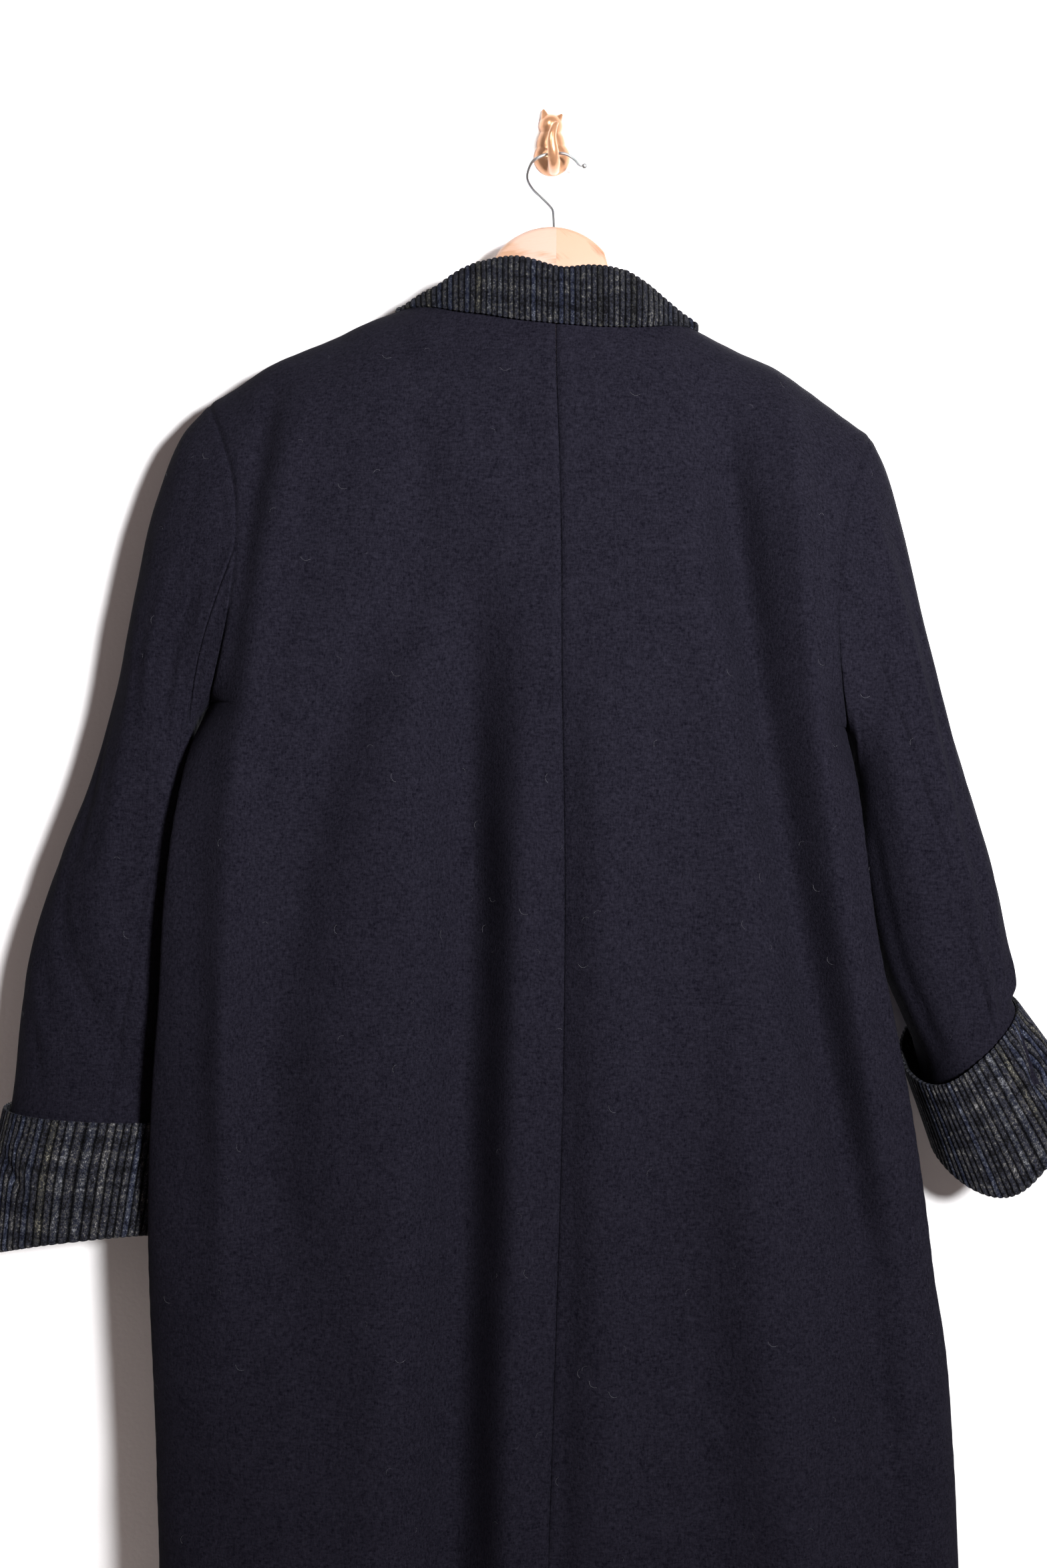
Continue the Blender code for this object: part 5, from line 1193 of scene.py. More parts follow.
def wall_piece(name, outer, inner, flat, closed=False, keep=None):
    """One closed wall between two grids of points, with its map in UV, as an object."""
    rows, columns = outer.shape[:2]
    spans = columns if closed else columns - 1
    if keep is None:
        keep = np.ones((rows - 1, spans), bool)
    if closed:          # the map runs on to the column where the round closes
        flat = np.concatenate([flat, 2 * flat[:, -1:] - flat[:, -2:-1]], axis=1)
    row, span = np.nonzero(keep)
    framed = np.zeros((rows + 1, spans + 2), bool)
    framed[1:-1, 1:-1] = keep
    if closed:
        framed[:, 0], framed[:, -1] = framed[:, -2], framed[:, 1]

    def corner(face, r, c):
        return face * rows * columns + r * columns + c % columns

    def cells(*corners):
        vertices = np.stack([corner(face, r, c) for face, r, c in corners], axis=-1)
        uv = np.stack([flat[r, c] for face, r, c in corners], axis=-2)
        return vertices, uv

    def rim(shown, *corners):
        return cells(*((face, (row + r)[shown], (span + c)[shown]) for face, r, c in corners))

    whole = np.ones(len(row), bool)
    above, below = ~framed[row, span + 1], ~framed[row + 2, span + 1]
    before, after = ~framed[row + 1, span], ~framed[row + 1, span + 2]
    parts = [
        rim(whole, (0, 0, 0), (0, 0, 1), (0, 1, 1), (0, 1, 0)),
        rim(whole, (1, 0, 0), (1, 1, 0), (1, 1, 1), (1, 0, 1)),
        rim(above, (0, 0, 1), (0, 0, 0), (1, 0, 0), (1, 0, 1)),
        rim(below, (0, 1, 0), (0, 1, 1), (1, 1, 1), (1, 1, 0)),
        rim(before, (0, 0, 0), (0, 1, 0), (1, 1, 0), (1, 0, 0)),
        rim(after, (0, 1, 1), (0, 0, 1), (1, 0, 1), (1, 1, 1)),
    ]
    faces = np.concatenate([part[0] for part in parts])
    uv = np.concatenate([part[1] for part in parts])
    points = np.concatenate([outer.reshape(-1, 3), inner.reshape(-1, 3)])
    first = points[parts[0][0]]
    facing = np.cross(first[:, 1] - first[:, 0], first[:, 3] - first[:, 0])
    away = (outer - inner)[row, span]
    if np.sum(facing * away) < 0:
        faces, uv = faces[:, ::-1], uv[:, ::-1]
    used, faces = np.unique(faces, return_inverse=True)
    mesh = bpy.data.meshes.new(name)
    mesh.from_pydata(points[used].tolist(), [], faces.reshape(-1, 4).tolist())
    layer = mesh.uv_layers.new(name="cloth")
    layer.data.foreach_set("uv", uv.reshape(-1).astype(np.float32))
    return finish_mesh(name, mesh)


def finish_mesh(name, mesh, sharp=50):
    """Shades a mesh softly and puts it into the scene as one object."""
    mesh.shade_smooth()
    mesh.set_sharp_from_angle(angle=math.radians(sharp))
    obj = bpy.data.objects.new(name, mesh)
    bpy.context.scene.collection.objects.link(obj)
    return obj


def from_bmesh(name, bm, sharp=50):
    """Makes an object from a bmesh, with its faces turned outwards, and frees it."""
    bmesh.ops.recalc_face_normals(bm, faces=bm.faces)
    mesh = bpy.data.meshes.new(name)
    bm.to_mesh(mesh)
    bm.free()
    return finish_mesh(name, mesh, sharp)


def dress(piece, node, material):
    """A piece of the looks that stands for one node of the part: it takes its material and hangs from the
    root, and the node is hidden.
    """
    piece.data.materials.clear()
    piece.data.materials.append(material)
    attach(piece, "root")
    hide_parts(node)
    return piece


def hanger_line(side, out):
    """Upper and lower downs of a hanger arm at distances out from the hump's middle."""
    sign = SIDES[side]["sign"]
    x = HUMP_X + sign * out
    shoulder = smooth(TOP_LINE, "x", "down", x) + ARM_CLEAR
    dome = HUMP_DOWN - np.sqrt(np.maximum(HUMP_RADIUS**2 - out**2, 0))
    meet = smooth(TOP_LINE, "x", "down", HUMP_X + sign * NECK_OUT) + ARM_CLEAR
    edge = HUMP_DOWN - math.sqrt(HUMP_RADIUS**2 - HUMP_OUT**2)
    slope = blend(edge, meet, np.sqrt(np.clip((out - HUMP_OUT) / (NECK_OUT - HUMP_OUT), 0, 1)))
    upper = np.where(out < HUMP_OUT, dome, np.where(out < NECK_OUT, slope, shoulder))
    end = (ARM_ENDS[side] - HUMP_X) * sign
    middle_low = HUMP_DOWN - HUMP_RADIUS + ARM_DEEP["middle"]
    outer_low = shoulder + blend(ARM_DEEP["neck"], ARM_DEEP["end"], np.clip(out / end, 0, 1))
    neck_low = meet + ARM_DEEP["neck"]
    lower = np.where(out < NECK_OUT, blend(middle_low, neck_low, ease(0, NECK_OUT, out)), outer_low)
    return x, upper, lower, end


def hanger_arm(side):
    """One wooden half of the hanger: a flat outline with its long edges rounded."""
    sign = SIDES[side]["sign"]
    end = hanger_line(side, np.zeros(1))[3]
    joint = JOINT_X + sign * SEAM_GAP / 2
    first = (joint - HUMP_X) * sign
    hump = np.linspace(first, NECK_OUT, HUMP_STEPS)[:-1]
    arm = np.linspace(NECK_OUT, end - ARM_DEEP["end"] / 2, ARM_STEPS)
    x, upper, lower, _ = hanger_line(side, np.concatenate([hump, arm]))
    radius = (lower[-1] - upper[-1]) / 2
    round_angle = np.pi * np.arange(1, ARM_TIP_STEPS) / ARM_TIP_STEPS
    tip_x = x[-1] + sign * radius * np.sin(round_angle)
    tip_down = (upper[-1] + lower[-1]) / 2 - radius * np.cos(round_angle)
    outline = list(zip(x, upper)) + list(zip(tip_x, tip_down)) + list(zip(x[::-1], lower[::-1]))
    bm = bmesh.new()
    near = HANGER_Y - HANGER_THICK / 2
    face = bm.faces.new([bm.verts.new((place, near, -down)) for place, down in outline])
    turned = bmesh.ops.extrude_face_region(bm, geom=[face])
    moved = [item for item in turned["geom"] if isinstance(item, bmesh.types.BMVert)]
    bmesh.ops.translate(bm, vec=(0, HANGER_THICK, 0), verts=moved)
    bmesh.ops.recalc_face_normals(bm, faces=bm.faces)

    def at_joint(edge):
        return all(abs(vert.co.x - joint) < SEAM_GAP / 4 for vert in edge.verts)

    long_edges = [edge for edge in bm.edges
                  if abs(edge.verts[0].co.y - edge.verts[1].co.y) < SEAM_GAP and not at_joint(edge)]
    bmesh.ops.bevel(bm, geom=long_edges, offset=ARM_ROUND, segments=4, profile=0.5,
                    affect="EDGES", clamp_overlap=True)
    return from_bmesh(f"wooden_arm_{side}", bm, sharp=35)


def round_bar(name, points, radii):
    """A bar with round section along points, as a closed mesh."""
    curve = bpy.data.curves.new(name, "CURVE")
    curve.dimensions = "3D"
    curve.bevel_depth = 1.0
    curve.bevel_resolution = 5
    curve.use_fill_caps = True
    spline = curve.splines.new("POLY")
    spline.points.add(len(points) - 1)
    for point, place, radius in zip(spline.points, points, radii):
        point.co = (*place, 1.0)
        point.radius = radius
    guide = bpy.data.objects.new(name + "_guide", curve)
    bpy.context.scene.collection.objects.link(guide)
    graph = bpy.context.evaluated_depsgraph_get()
    mesh = bpy.data.meshes.new_from_object(guide.evaluated_get(graph))
    bpy.data.objects.remove(guide, do_unlink=True)
    bm = bmesh.new()
    bm.from_mesh(mesh)
    bpy.data.meshes.remove(mesh)
    bmesh.ops.remove_doubles(bm, verts=bm.verts, dist=1e-5)
    return bm


def add_ball(bm, centre, radii, segments=48):
    """Adds a ball, or one stretched by its three radii, to a bmesh."""
    place = Matrix.Translation(centre) @ Matrix.Diagonal((*radii, 1.0))
    bmesh.ops.create_uvsphere(bm, u_segments=segments, v_segments=segments // 2, radius=1.0,
                              matrix=place)


def add_mesh(bm, other):
    """Adds one bmesh's shapes to another and frees it."""
    mesh = bpy.data.meshes.new("added")
    other.to_mesh(mesh)
    other.free()
    bm.from_mesh(mesh)
    bpy.data.meshes.remove(mesh)


def cat_hook():
    """Cat seen from behind, melted into one form, flat at the wall. Its tail is the prong."""
    bm = bmesh.new()
    for ball in (CAT_BODY, CAT_SHOULDERS, CAT_HEAD):
        add_ball(bm, *ball)
    for foot, tip in CAT_EARS:
        add_mesh(bm, round_bar("ear", np.array([foot, tip]), (EAR_RADIUS, EAR_TIP)))
    tail = through_rows(CAT_TAIL, TAIL_STEPS)
    radii = np.interp(np.arange(len(tail)) / (len(tail) - 1), *TAIL_TAPER)
    add_mesh(bm, round_bar("tail", tail, radii))
    cat = from_bmesh("copper_cat", bm)
    melt = cat.modifiers.new("melt", "REMESH")
    melt.mode = "VOXEL"
    melt.voxel_size = CAT_VOXEL
    soften = cat.modifiers.new("soften", "SMOOTH")
    soften.iterations = CAT_SOFTEN
    graph = bpy.context.evaluated_depsgraph_get()
    mesh = bpy.data.meshes.new_from_object(cat.evaluated_get(graph))
    bpy.data.objects.remove(cat, do_unlink=True)
    bm = bmesh.new()
    bm.from_mesh(mesh)
    bpy.data.meshes.remove(mesh)
    cut = bmesh.ops.bisect_plane(bm, geom=bm.verts[:] + bm.edges[:] + bm.faces[:],
                                 plane_co=(0, 0, 0), plane_no=(0, 1, 0), clear_outer=True)
    rim = [item for item in cut["geom_cut"] if isinstance(item, bmesh.types.BMEdge)]
    bmesh.ops.contextual_create(bm, geom=rim)
    return from_bmesh("copper_cat", bm, sharp=60)


def wire_hook():
    """Bent wire with a small ball at its free end."""
    wire = through_rows(WIRE_ROUTE, WIRE_STEPS)
    bm = round_bar("wire", wire, [WIRE_RADIUS] * len(wire))
    add_ball(bm, WIRE_ROUTE[-1], [WIRE_BALL] * 3, segments=24)
    return from_bmesh("bent_wire", bm, sharp=60)


def turned_button(number):
    """Plain button that lies on the outer face of the right front, with a dished middle."""
    down = BUTTON_FIRST + number * BUTTON_STEP
    centre = float(smooth(CENTRE, "down", "seam", down))
    around = 2 * math.pi * np.arange(BUTTON_FEET) / BUTTON_FEET
    touch = max(depth_on("front", centre + BUTTON_RADIUS * math.cos(angle),
                         down + BUTTON_RADIUS * math.sin(angle)) for angle in around)
    middle = touch + SEAM_GAP + BUTTON_THICK / 2
    points, faces = [(centre, middle - BUTTON_THICK / 2, -down)], []
    turn = 2 * math.pi * np.arange(BUTTON_SIDES) / BUTTON_SIDES
    for radius, height in BUTTON_PROFILE:
        for angle in turn:
            points.append((centre + BUTTON_RADIUS * radius * math.cos(angle),
                           middle + BUTTON_THICK / 2 * height,
                           -down + BUTTON_RADIUS * radius * math.sin(angle)))
    points.append((centre, middle + BUTTON_THICK / 2 * BUTTON_PROFILE[-1][1], -down))
    last = len(points) - 1
    for side in range(BUTTON_SIDES):
        after = (side + 1) % BUTTON_SIDES
        faces.append((0, 1 + side, 1 + after))
        for ring in range(len(BUTTON_PROFILE) - 1):
            low, high = 1 + ring * BUTTON_SIDES, 1 + (ring + 1) * BUTTON_SIDES
            faces.append((low + side, high + side, high + after, low + after))
        rim = last - BUTTON_SIDES
        faces.append((last, rim + after, rim + side))
    mesh = bpy.data.meshes.new("button")
    mesh.from_pydata(points, [], faces)
    bm = bmesh.new()
    bm.from_mesh(mesh)
    bpy.data.meshes.remove(mesh)
    return from_bmesh(f"turned_button_{number + 1}", bm, sharp=40)


def add_node(tree, kind, **settings):
    """A node with settings by name; names of input sockets set their values."""
    node = tree.nodes.new(kind)
    for name, value in settings.items():
        if hasattr(node, name):
            setattr(node, name, value)
        else:
            node.inputs[name.replace("_", " ")].default_value = value
    return node


def send(tree, node, **sockets):
    """Links sockets to a node's inputs by name."""
    for name, socket in sockets.items():
        tree.links.new(socket, node.inputs[name.replace("_", " ")])


def shader_group(name, inputs, outputs):
    """An empty node group with sockets, and its inner input and output nodes."""
    group = bpy.data.node_groups.new(name, "ShaderNodeTree")
    for label, kind, value in inputs:
        socket = group.interface.new_socket(label, in_out="INPUT", socket_type=kind)
        if value is not None:
            socket.default_value = value
    for label, kind in outputs:
        group.interface.new_socket(label, in_out="OUTPUT", socket_type=kind)
    return group, group.nodes.new("NodeGroupInput"), group.nodes.new("NodeGroupOutput")


def math_node(tree, operation, *values):
    """One step of arithmetic on numbers or sockets."""
    node = add_node(tree, "ShaderNodeMath", operation=operation)
    for socket, value in zip(node.inputs, values):
        if isinstance(value, (int, float)):
            socket.default_value = value
        else:
            tree.links.new(value, socket)
    return node.outputs[0]


def weighed(tree, *parts):
    """The sum of sockets, each times its share."""
    total = None
    for socket, share in parts:
        part = math_node(tree, "MULTIPLY", socket, share)
        total = part if total is None else math_node(tree, "ADD", total, part)
    return total


def noise_node(tree, vector, scale, detail=2.0, roughness=0.5):
    """Noise over a vector."""
    node = add_node(tree, "ShaderNodeTexNoise", Scale=scale, Detail=detail, Roughness=roughness)
    send(tree, node, Vector=vector)
    return node.outputs["Fac"]


def ramp_node(tree, value, stops):
    """Colour ramp with (place, colour) stops."""
    node = tree.nodes.new("ShaderNodeValToRGB")
    ramp = node.color_ramp
    while len(ramp.elements) < len(stops):
        ramp.elements.new(1.0)
    for element, (place, colour) in zip(ramp.elements, stops):
        element.position = place
        element.color = (*colour, 1.0)
    tree.links.new(value, node.inputs["Fac"])
    return node.outputs["Color"]


def stretched(tree, vector, scale):
    """A vector with each of its parts times its own number."""
    node = add_node(tree, "ShaderNodeMapping", Scale=scale)
    send(tree, node, Vector=vector)
    return node.outputs["Vector"]


def felt_group():
    """Matted wool fibres: a colour mask and a height from the place on the cloth."""
    group, inside, outside = shader_group(
        "wool_fibres",
        [("Place", "NodeSocketVector", None)],
        [("Mask", "NodeSocketFloat"), ("Height", "NodeSocketFloat")])
    place = inside.outputs["Place"]
    fine = noise_node(group, place, scale=1500, detail=3.0, roughness=0.7)
    upright, level = (stretched(group, place, scale) for scale in ((1.0, 1.0, 0.4), (0.35, 1.0, 1.0)))
    matted = noise_node(group, upright, scale=780, detail=3.0, roughness=0.6)
    across = noise_node(group, level, scale=640)
    cloudy = noise_node(group, place, scale=40)
    fibres = weighed(group, (matted, 0.4), (across, 0.3), (fine, 0.3))
    mask = weighed(group, (fibres, 0.94), (cloudy, 0.06))
    send(group, outside, Mask=mask, Height=fibres)
    return group


def corduroy_group():
    """Corduroy from the cloth's map: a place on the colour ramp, the roundness of the wales (which the
    materials use for painted shade in the grooves), the pile's height and a random number for each wale."""
    group, inside, outside = shader_group(
        "corduroy",
        [("Map", "NodeSocketVector", None), ("Place", "NodeSocketVector", None),
         ("Band Size", "NodeSocketFloat", 0.012)],
        [("Check", "NodeSocketFloat"), ("Crown", "NodeSocketFloat"), ("Height", "NodeSocketFloat"),
         ("Wale", "NodeSocketFloat")])
    split = group.nodes.new("ShaderNodeSeparateXYZ")
    group.links.new(inside.outputs["Map"], split.inputs[0])
    wale, length = split.outputs["X"], split.outputs["Y"]
    number = math_node(group, "FLOOR", wale)
    across = math_node(group, "FRACT", wale)
    crown = math_node(group, "SINE", math_node(group, "MULTIPLY", across, math.pi))
    dyed = add_node(group, "ShaderNodeTexWhiteNoise", noise_dimensions="1D")
    send(group, dyed, W=number)
    stripe = add_node(group, "ShaderNodeTexNoise", noise_dimensions="1D", Scale=0.31, Detail=1.0)
    send(group, stripe, W=math_node(group, "ADD", number, STRIPE_START))
    band = add_node(group, "ShaderNodeTexNoise", noise_dimensions="2D", Scale=1.0, Detail=2.0)
    run = group.nodes.new("ShaderNodeCombineXYZ")
    send(group, run, Y=math_node(group, "DIVIDE", length, inside.outputs["Band Size"]),
         X=math_node(group, "MULTIPLY", number, BAND_DRIFT))
    send(group, band, Vector=run.outputs[0])
    mixed = weighed(group, (stripe.outputs["Fac"], 0.30), (band.outputs["Fac"], 0.36),
                    (dyed.outputs["Value"], 0.12))
    pile = noise_node(group, stretched(group, inside.outputs["Place"], (1.0, 1.0, 0.6)),
                      scale=1300, detail=3.0, roughness=0.7)
    tufts = noise_node(group, inside.outputs["Place"], scale=380, detail=3.0, roughness=0.65)
    height = weighed(group, (pile, 0.55), (tufts, 0.45))
    even = math_node(group, "SUBTRACT", height, 0.5)
    worn = math_node(group, "MULTIPLY", even, PILE_CONTRAST)
    send(group, outside, Check=math_node(group, "ADD", mixed, worn), Crown=crown, Height=height,
         Wale=dyed.outputs["Value"])
    return group


def grain_group():
    """Growth rings and pores of beech, seen along the arm."""
    group, inside, outside = shader_group(
        "beech_grain",
        [("Place", "NodeSocketVector", None)],
        [("Grain", "NodeSocketFloat"), ("Pores", "NodeSocketFloat")])
    place = inside.outputs["Place"]
    bent = noise_node(group, place, scale=9)
    rings = add_node(group, "ShaderNodeTexWave", wave_type="BANDS", bands_direction="Y",
                     Scale=34.0, Distortion=5.0, Detail=2.0, Detail_Scale=1.4)
    send(group, rings, Vector=stretched(group, place, (0.35, 1.0, 1.0)))
    fine = noise_node(group, stretched(group, place, (0.12, 1.0, 1.0)), scale=900)
    grain = weighed(group, (rings.outputs["Fac"], 0.5), (fine, 0.3), (bent, 0.2))
    send(group, outside, Grain=grain, Pores=fine)
    return group


def new_material(name, roughness, metallic=0.0):
    """A material with its Principled shader, and a node of coordinates."""
    material = bpy.data.materials.new(name)
    material.use_nodes = True
    tree = material.node_tree
    shader = tree.nodes["Principled BSDF"]
    shader.inputs["Roughness"].default_value = roughness
    shader.inputs["Metallic"].default_value = metallic
    return material, tree, shader, tree.nodes.new("ShaderNodeTexCoord")


def use_group(tree, group, **links):
    """A node group in a material, its inputs linked by name."""
    node = add_node(tree, "ShaderNodeGroup", node_tree=group)
    send(tree, node, **links)
    return node


def add_bump(tree, shader, height, distance, strength=1.0):
    """Fine relief from a height, as normals only."""
    bump = add_node(tree, "ShaderNodeBump", Distance=distance, Strength=strength)
    send(tree, bump, Height=height)
    send(tree, shader, Normal=bump.outputs["Normal"])


def set_sheen(shader, weight, roughness, tint, specular):
    """The soft edge light of a napped cloth, and its faint shine."""
    shader.inputs["Sheen Weight"].default_value = weight
    shader.inputs["Sheen Roughness"].default_value = roughness
    shader.inputs["Sheen Tint"].default_value = tint
    shader.inputs["Specular IOR Level"].default_value = specular


def melton(name, fibres, dark, light):
    """Navy melton wool: matted, nearly black, with a faint cold nap."""
    material, tree, shader, coordinates = new_material(name, roughness=0.95)
    felt = use_group(tree, fibres, Place=coordinates.outputs["Object"])
    colour = ramp_node(tree, felt.outputs["Mask"], [(0.37, dark), (0.65, light)])
    send(tree, shader, Base_Color=colour)
    set_sheen(shader, WOOL_SHEEN, roughness=0.55, tint=(0.42, 0.44, 0.62, 1.0), specular=0.02)
    add_bump(tree, shader, felt.outputs["Height"], distance=0.0009)
    return material


def multiplied(tree, first, second):
    """One colour times another."""
    mix = add_node(tree, "ShaderNodeMix", data_type="RGBA", blend_type="MULTIPLY")
    mix.inputs["Factor"].default_value = 1.0
    colours = [socket for socket in mix.inputs if socket.type == "RGBA"]
    tree.links.new(first, colours[0])
    tree.links.new(second, colours[1])
    return next(socket for socket in mix.outputs if socket.type == "RGBA")


def wide_corduroy(name, wales, stops, band, sheen):
    """Corduroy with a woven check, and painted shade that darkens its colour down in its grooves."""
    material, tree, shader, coordinates = new_material(name, roughness=0.9)
    cord = use_group(tree, wales, Map=coordinates.outputs["UV"], Place=coordinates.outputs["Object"])
    cord.inputs["Band Size"].default_value = band
    colour = ramp_node(tree, cord.outputs["Check"], stops)
    # painted shade: the colour is darkened towards the bottom of each groove
    depth = ramp_node(tree, cord.outputs["Crown"], [(place, (grey,) * 3) for place, grey in GROOVE_SHADE_STOPS])
    dye = ramp_node(tree, cord.outputs["Wale"], WALE_DYES)
    send(tree, shader, Base_Color=multiplied(tree, multiplied(tree, colour, dye), depth))
    set_sheen(shader, sheen, roughness=0.45, tint=(0.62, 0.66, 0.78, 1.0), specular=0.03)
    add_bump(tree, shader, cord.outputs["Height"], distance=0.0007)
    return material


def beech(name, grain, stops, turned):
    """Oiled beech, its grain turned a little from the arm's length."""
    material, tree, shader, coordinates = new_material(name, roughness=0.42)
    place = add_node(tree, "ShaderNodeMapping", Rotation=(0.0, turned, 0.0))
    send(tree, place, Vector=coordinates.outputs["Object"])
    wood = use_group(tree, grain, Place=place.outputs["Vector"])
    send(tree, shader, Base_Color=ramp_node(tree, wood.outputs["Grain"], stops))
    shader.inputs["Coat Weight"].default_value = 0.15
    add_bump(tree, shader, wood.outputs["Pores"], distance=0.0001)
    return material


def metal(name, colour, roughness, worn, metallic):
    """Smooth metal with faint wear. Under a lacquer it is less metallic."""
    material, tree, shader, coordinates = new_material(name, roughness, metallic)
    shader.inputs["Base Color"].default_value = (*colour, 1.0)
    wear = noise_node(tree, coordinates.outputs["Object"], worn, detail=3.0)
    wear = math_node(tree, "MULTIPLY", wear, METAL_WEAR)
    rough = math_node(tree, "ADD", wear, roughness - METAL_WEAR / 2)
    send(tree, shader, Roughness=rough)
    return material


def horn():
    """Dark horn of the buttons."""
    material, tree, shader, coordinates = new_material("dark_horn", roughness=0.3)
    upright = stretched(tree, coordinates.outputs["Object"], (1.0, 1.0, 0.3))
    cloud = noise_node(tree, upright, scale=160, detail=3.0)
    colour = ramp_node(tree, cloud, [(0.35, (0.012, 0.009, 0.007)), (0.7, (0.06, 0.035, 0.02))])
    send(tree, shader, Base_Color=colour)
    return material


def plain_paint(name, colour, one_sided=False):
    """Matt paint of the wall or floor; one-sided paint is clear from behind."""
    material, tree, shader, coordinates = new_material(name, roughness=0.8)
    shader.inputs["Base Color"].default_value = (*colour, 1.0)
    rolled = noise_node(tree, coordinates.outputs["Object"], scale=260)
    add_bump(tree, shader, rolled, distance=0.0004, strength=0.5)
    if one_sided:
        clear = tree.nodes.new("ShaderNodeBsdfTransparent")
        back = tree.nodes.new("ShaderNodeNewGeometry")
        mix = tree.nodes.new("ShaderNodeMixShader")
        output = tree.nodes["Material Output"]
        tree.links.new(back.outputs["Backfacing"], mix.inputs["Fac"])
        tree.links.new(shader.outputs[0], mix.inputs[1])
        tree.links.new(clear.outputs[0], mix.inputs[2])
        tree.links.new(mix.outputs[0], output.inputs["Surface"])
    return material


def add_camera():
    """The photograph's camera, level and straight on."""
    data = bpy.data.cameras.new("camera")
    data.lens = CAMERA_LENS
    data.sensor_width = CAMERA_SENSOR
    data.clip_start = CAMERA_CLIP
    camera = bpy.data.objects.new("camera", data)
    camera.location = CAMERA_PLACE
    camera.rotation_euler = (math.pi / 2, 0, 0)
    bpy.context.scene.collection.objects.link(camera)
    bpy.context.scene.camera = camera


def plain_colours():
    """The plain display curve, in which the lit wall is as white as in the photograph."""
    bpy.context.scene.view_settings.view_transform = "Standard"


def add_light(name, place, target, size, spread, power):
    """A round area light."""
    data = bpy.data.lights.new(name, "AREA")
    data.shape = "DISK"
    data.size = size
    data.spread = math.radians(spread)
    data.energy = power
    light = bpy.data.objects.new(name, data)
    light.location = place
    light.rotation_euler = (Vector(target) - Vector(place)).to_track_quat("-Z", "Y").to_euler()
    bpy.context.scene.collection.objects.link(light)


def add_sheet(name, paint, *corners):
    """One painted square of the stage."""
    mesh = bpy.data.meshes.new(name)
    mesh.from_pydata(corners, [], [(0, 1, 2, 3)])
    mesh.materials.append(paint)
    obj = bpy.data.objects.new(name, mesh)
    bpy.context.scene.collection.objects.link(obj)
    return obj


def add_stage():
    """Plain pale wall and floor, the lights, and the room's own pale light."""
    half, low, behind = STAGE_HALF, -FLOOR_DOWN, WALL_BEHIND
    wall = add_sheet("wall", plain_paint("white_wall", WALL_WHITE, one_sided=True),
                     (-half, behind, low), (half, behind, low),
                     (half, behind, WALL_HIGH), (-half, behind, WALL_HIGH))
    wall.visible_shadow = False         # so that the rear light reaches the coat
    add_sheet("floor", plain_paint("pale_floor", FLOOR_PALE),
              (-half, -half, low), (half, -half, low), (half, half, low), (-half, half, low))
    for light in LIGHTS:
        add_light(*light)
    world = bpy.data.worlds.new("room")
    world.use_nodes = True
    background = world.node_tree.nodes["Background"]
    background.inputs["Color"].default_value = (*ROOM_COLOUR, 1.0)
    background.inputs["Strength"].default_value = ROOM_LIGHT
    bpy.context.scene.world = world


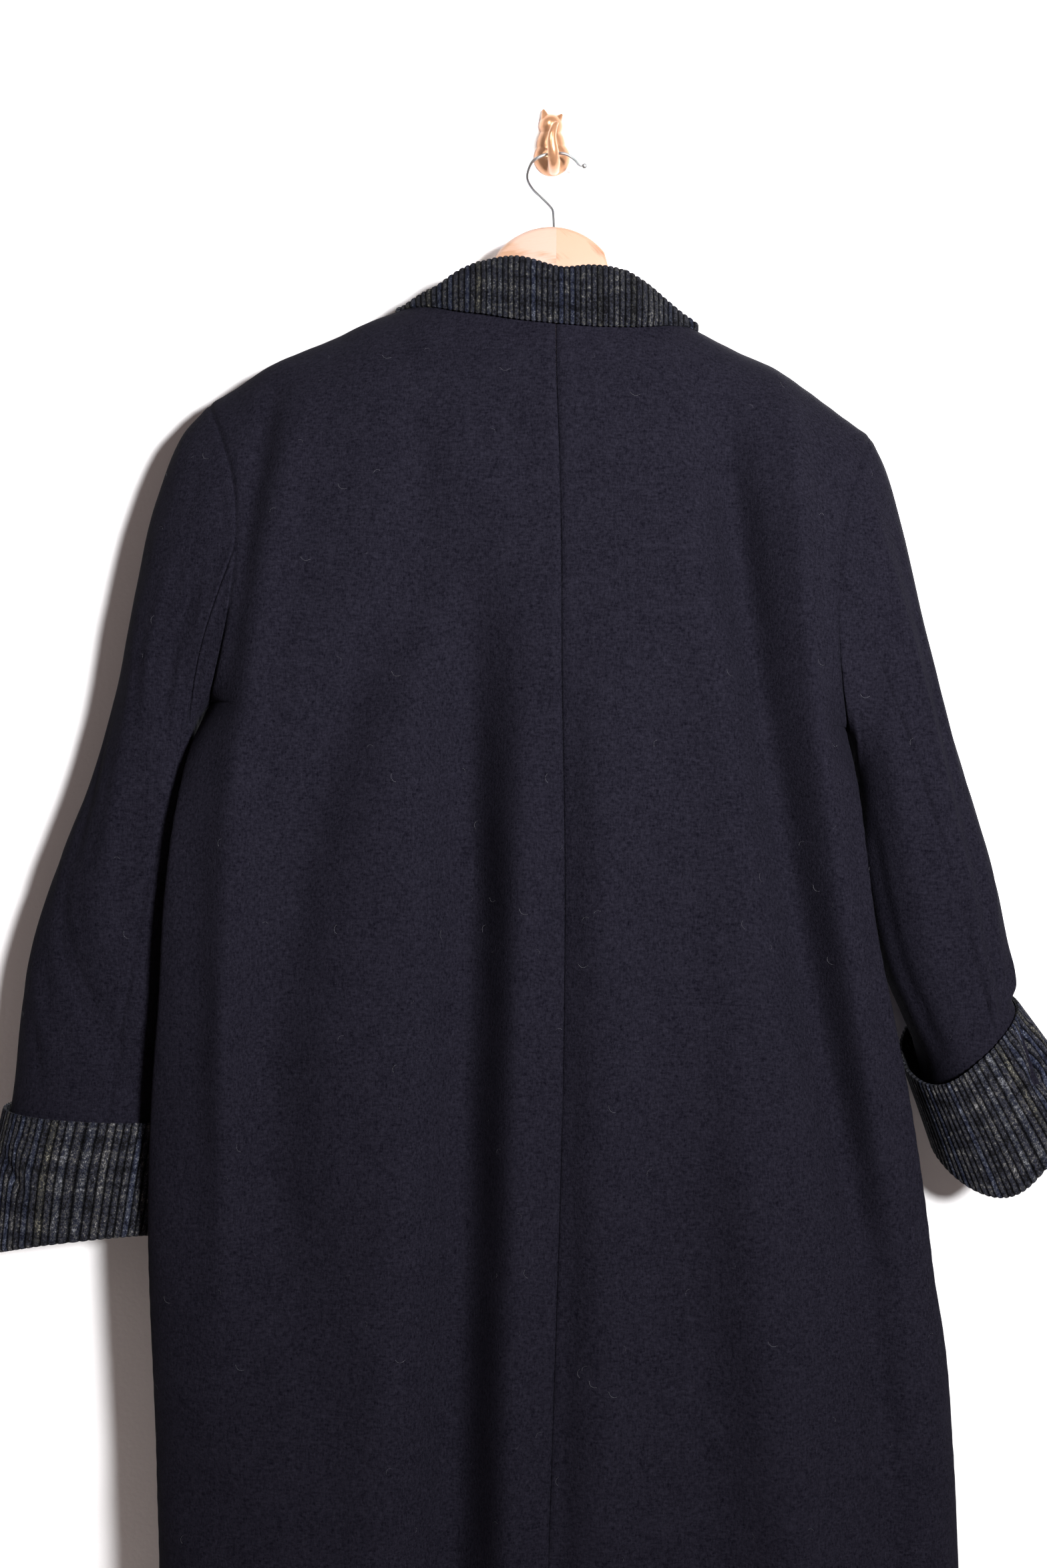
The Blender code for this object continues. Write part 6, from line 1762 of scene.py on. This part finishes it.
def add_lint(name, piece, per_metre, material, seed):
    """Short pale hairs scattered over one piece, made with geometry nodes."""
    tree = bpy.data.node_groups.new(name, "GeometryNodeTree")
    tree.interface.new_socket("Geometry", in_out="INPUT", socket_type="NodeSocketGeometry")
    sockets = {}
    for label, kind in (("Per Square Metre", "NodeSocketFloat"), ("Seed", "NodeSocketInt"),
                        ("Longest", "NodeSocketFloat"), ("Thickness", "NodeSocketFloat")):
        sockets[label] = tree.interface.new_socket(label, in_out="INPUT", socket_type=kind).identifier
    tree.interface.new_socket("Geometry", in_out="OUTPUT", socket_type="NodeSocketGeometry")
    inside, outside = tree.nodes.new("NodeGroupInput"), tree.nodes.new("NodeGroupOutput")

    given = inside.outputs
    scatter = add_node(tree, "GeometryNodeDistributePointsOnFaces", distribute_method="RANDOM")
    send(tree, scatter, Mesh=given["Geometry"], Density=given["Per Square Metre"],
         Seed=given["Seed"])

    hair = add_node(tree, "GeometryNodeCurveQuadraticBezier", Resolution=5,
                    Start=(-0.5, -0.10, 0.02), Middle=(0.05, 0.42, 0.10), End=(0.5, -0.16, 0.04))
    section = add_node(tree, "GeometryNodeCurvePrimitiveCircle", Resolution=3)
    send(tree, section, Radius=given["Thickness"])
    tube = add_node(tree, "GeometryNodeCurveToMesh", Fill_Caps=True)
    send(tree, tube, Curve=hair.outputs["Curve"], Profile_Curve=section.outputs["Curve"])

    def any_number(low, high):
        node = add_node(tree, "FunctionNodeRandomValue", data_type="FLOAT")
        node.inputs[2].default_value = low
        node.inputs[3].default_value = high
        send(tree, node, Seed=given["Seed"])
        return node.outputs[1]

    about = add_node(tree, "FunctionNodeAxisAngleToRotation", Axis=(0.0, 0.0, 1.0))
    send(tree, about, Angle=any_number(-math.pi, math.pi))
    turned = add_node(tree, "FunctionNodeRotateRotation", rotation_space="LOCAL")
    send(tree, turned, Rotation=scatter.outputs["Rotation"], Rotate_By=about.outputs["Rotation"])
    length = math_node(tree, "MULTIPLY", any_number(LINT_SHORTEST, 1.0), given["Longest"])
    size = tree.nodes.new("ShaderNodeCombineXYZ")
    send(tree, size, X=length, Y=length, Z=length)
    place = tree.nodes.new("GeometryNodeInstanceOnPoints")
    send(tree, place, Points=scatter.outputs["Points"], Instance=tube.outputs["Mesh"],
         Rotation=turned.outputs["Rotation"], Scale=size.outputs[0])
    real = tree.nodes.new("GeometryNodeRealizeInstances")
    send(tree, real, Geometry=place.outputs["Instances"])
    painted = add_node(tree, "GeometryNodeSetMaterial", Material=material)
    send(tree, painted, Geometry=real.outputs["Geometry"])
    send(tree, outside, Geometry=painted.outputs["Geometry"])

    modifier = piece.modifiers.new("lint", "NODES")
    modifier.node_group = tree
    modifier[sockets["Per Square Metre"]] = float(per_metre)
    modifier[sockets["Seed"]] = seed
    modifier[sockets["Longest"]] = LINT_LONGEST
    modifier[sockets["Thickness"]] = LINT_RADIUS / LINT_LONGEST
    graph = bpy.context.evaluated_depsgraph_get()
    mesh = bpy.data.meshes.new_from_object(piece.evaluated_get(graph))
    piece.modifiers.remove(modifier)
    mesh.name = name
    lint = bpy.data.objects.new(name, mesh)
    bpy.context.scene.collection.objects.link(lint)
    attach(lint, "root")
    return lint


def melton_piece(node, walls, kind, cloth, hair, seed):
    """One panel of melton with the lint on it, from its two walls and its map."""
    piece = dress(wall_piece(f"melton_{node}", *walls), node, cloth)
    lint = add_lint(f"lint_{node}", piece, LINT_PER_METRE[kind], hair, seed)


def main():
    """Sets the stage, then builds every piece that is seen. Each panel's lint has its own seed."""
    add_camera()
    plain_colours()
    add_stage()
    fibres, wales, grain = felt_group(), corduroy_group(), grain_group()
    navy = melton("navy_melton", fibres, WOOL_DARK, WOOL_LIGHT)
    collar_cord = wide_corduroy("charcoal_corduroy", wales, COLLAR_STOPS, band=0.009, sheen=0.01)
    cuff_cord = wide_corduroy("grey_check_corduroy", wales, CUFF_STOPS, band=0.010, sheen=0.02)
    pale_hair = new_material("pale_lint", roughness=0.8)[0]
    pale_hair.node_tree.nodes["Principled BSDF"].inputs["Base Color"].default_value = LINT_COLOUR
    seeds = itertools.count(LINT_SEED)
    for side in SIDES:
        for face in ("back", "front"):
            outer, inner, flat = body_panel(side, face)
            pinch_edge(outer, inner, "first column", EDGE_PINCH if face == "front" else SEAM_PINCH)
            pinch_edge(outer, inner, "last row", EDGE_PINCH)
            walls = (outer, inner, flat)
            melton_piece(f"{face}_{side}", walls, face, navy, pale_hair, next(seeds))
        for part in ("top", "under"):
            walls = sleeve_panel(side, part)
            melton_piece(f"sleeve_{part}_{side}", walls, "sleeve", navy, pale_hair, next(seeds))
        outer, inner, flat = cuff_walls(side)
        piece = wall_piece(f"corduroy_cuff_{side}", outer, inner, flat, closed=True)
        dress(piece, f"cuff_{side}", cuff_cord)
        wood = beech(f"beech_{side}", grain, BEECH_STOPS[side], BEECH_TURN[side])
        dress(hanger_arm(side), f"hanger_arm_{side}", wood)
    outer, inner, flat, keep = collar_leaf()
    piece = wall_piece("corduroy_collar", outer, inner, flat, keep=keep)
    dress(piece, "collar", collar_cord)
    outer, inner, flat = collar_stand()
    piece = dress(wall_piece("corduroy_stand", outer, inner, flat), "collar_stand", collar_cord)
    chrome = metal("chrome_wire", CHROME, roughness=0.34, worn=300, metallic=1.0)
    dress(wire_hook(), "hanger_hook", chrome)
    copper = metal("lacquered_copper", COPPER, roughness=0.32, worn=260, metallic=0.65)
    dress(cat_hook(), "wall_hook", copper)
    buttons = horn()
    for number in range(BUTTONS):
        dress(turned_button(number), f"button_{number + 1}", buttons)



main()
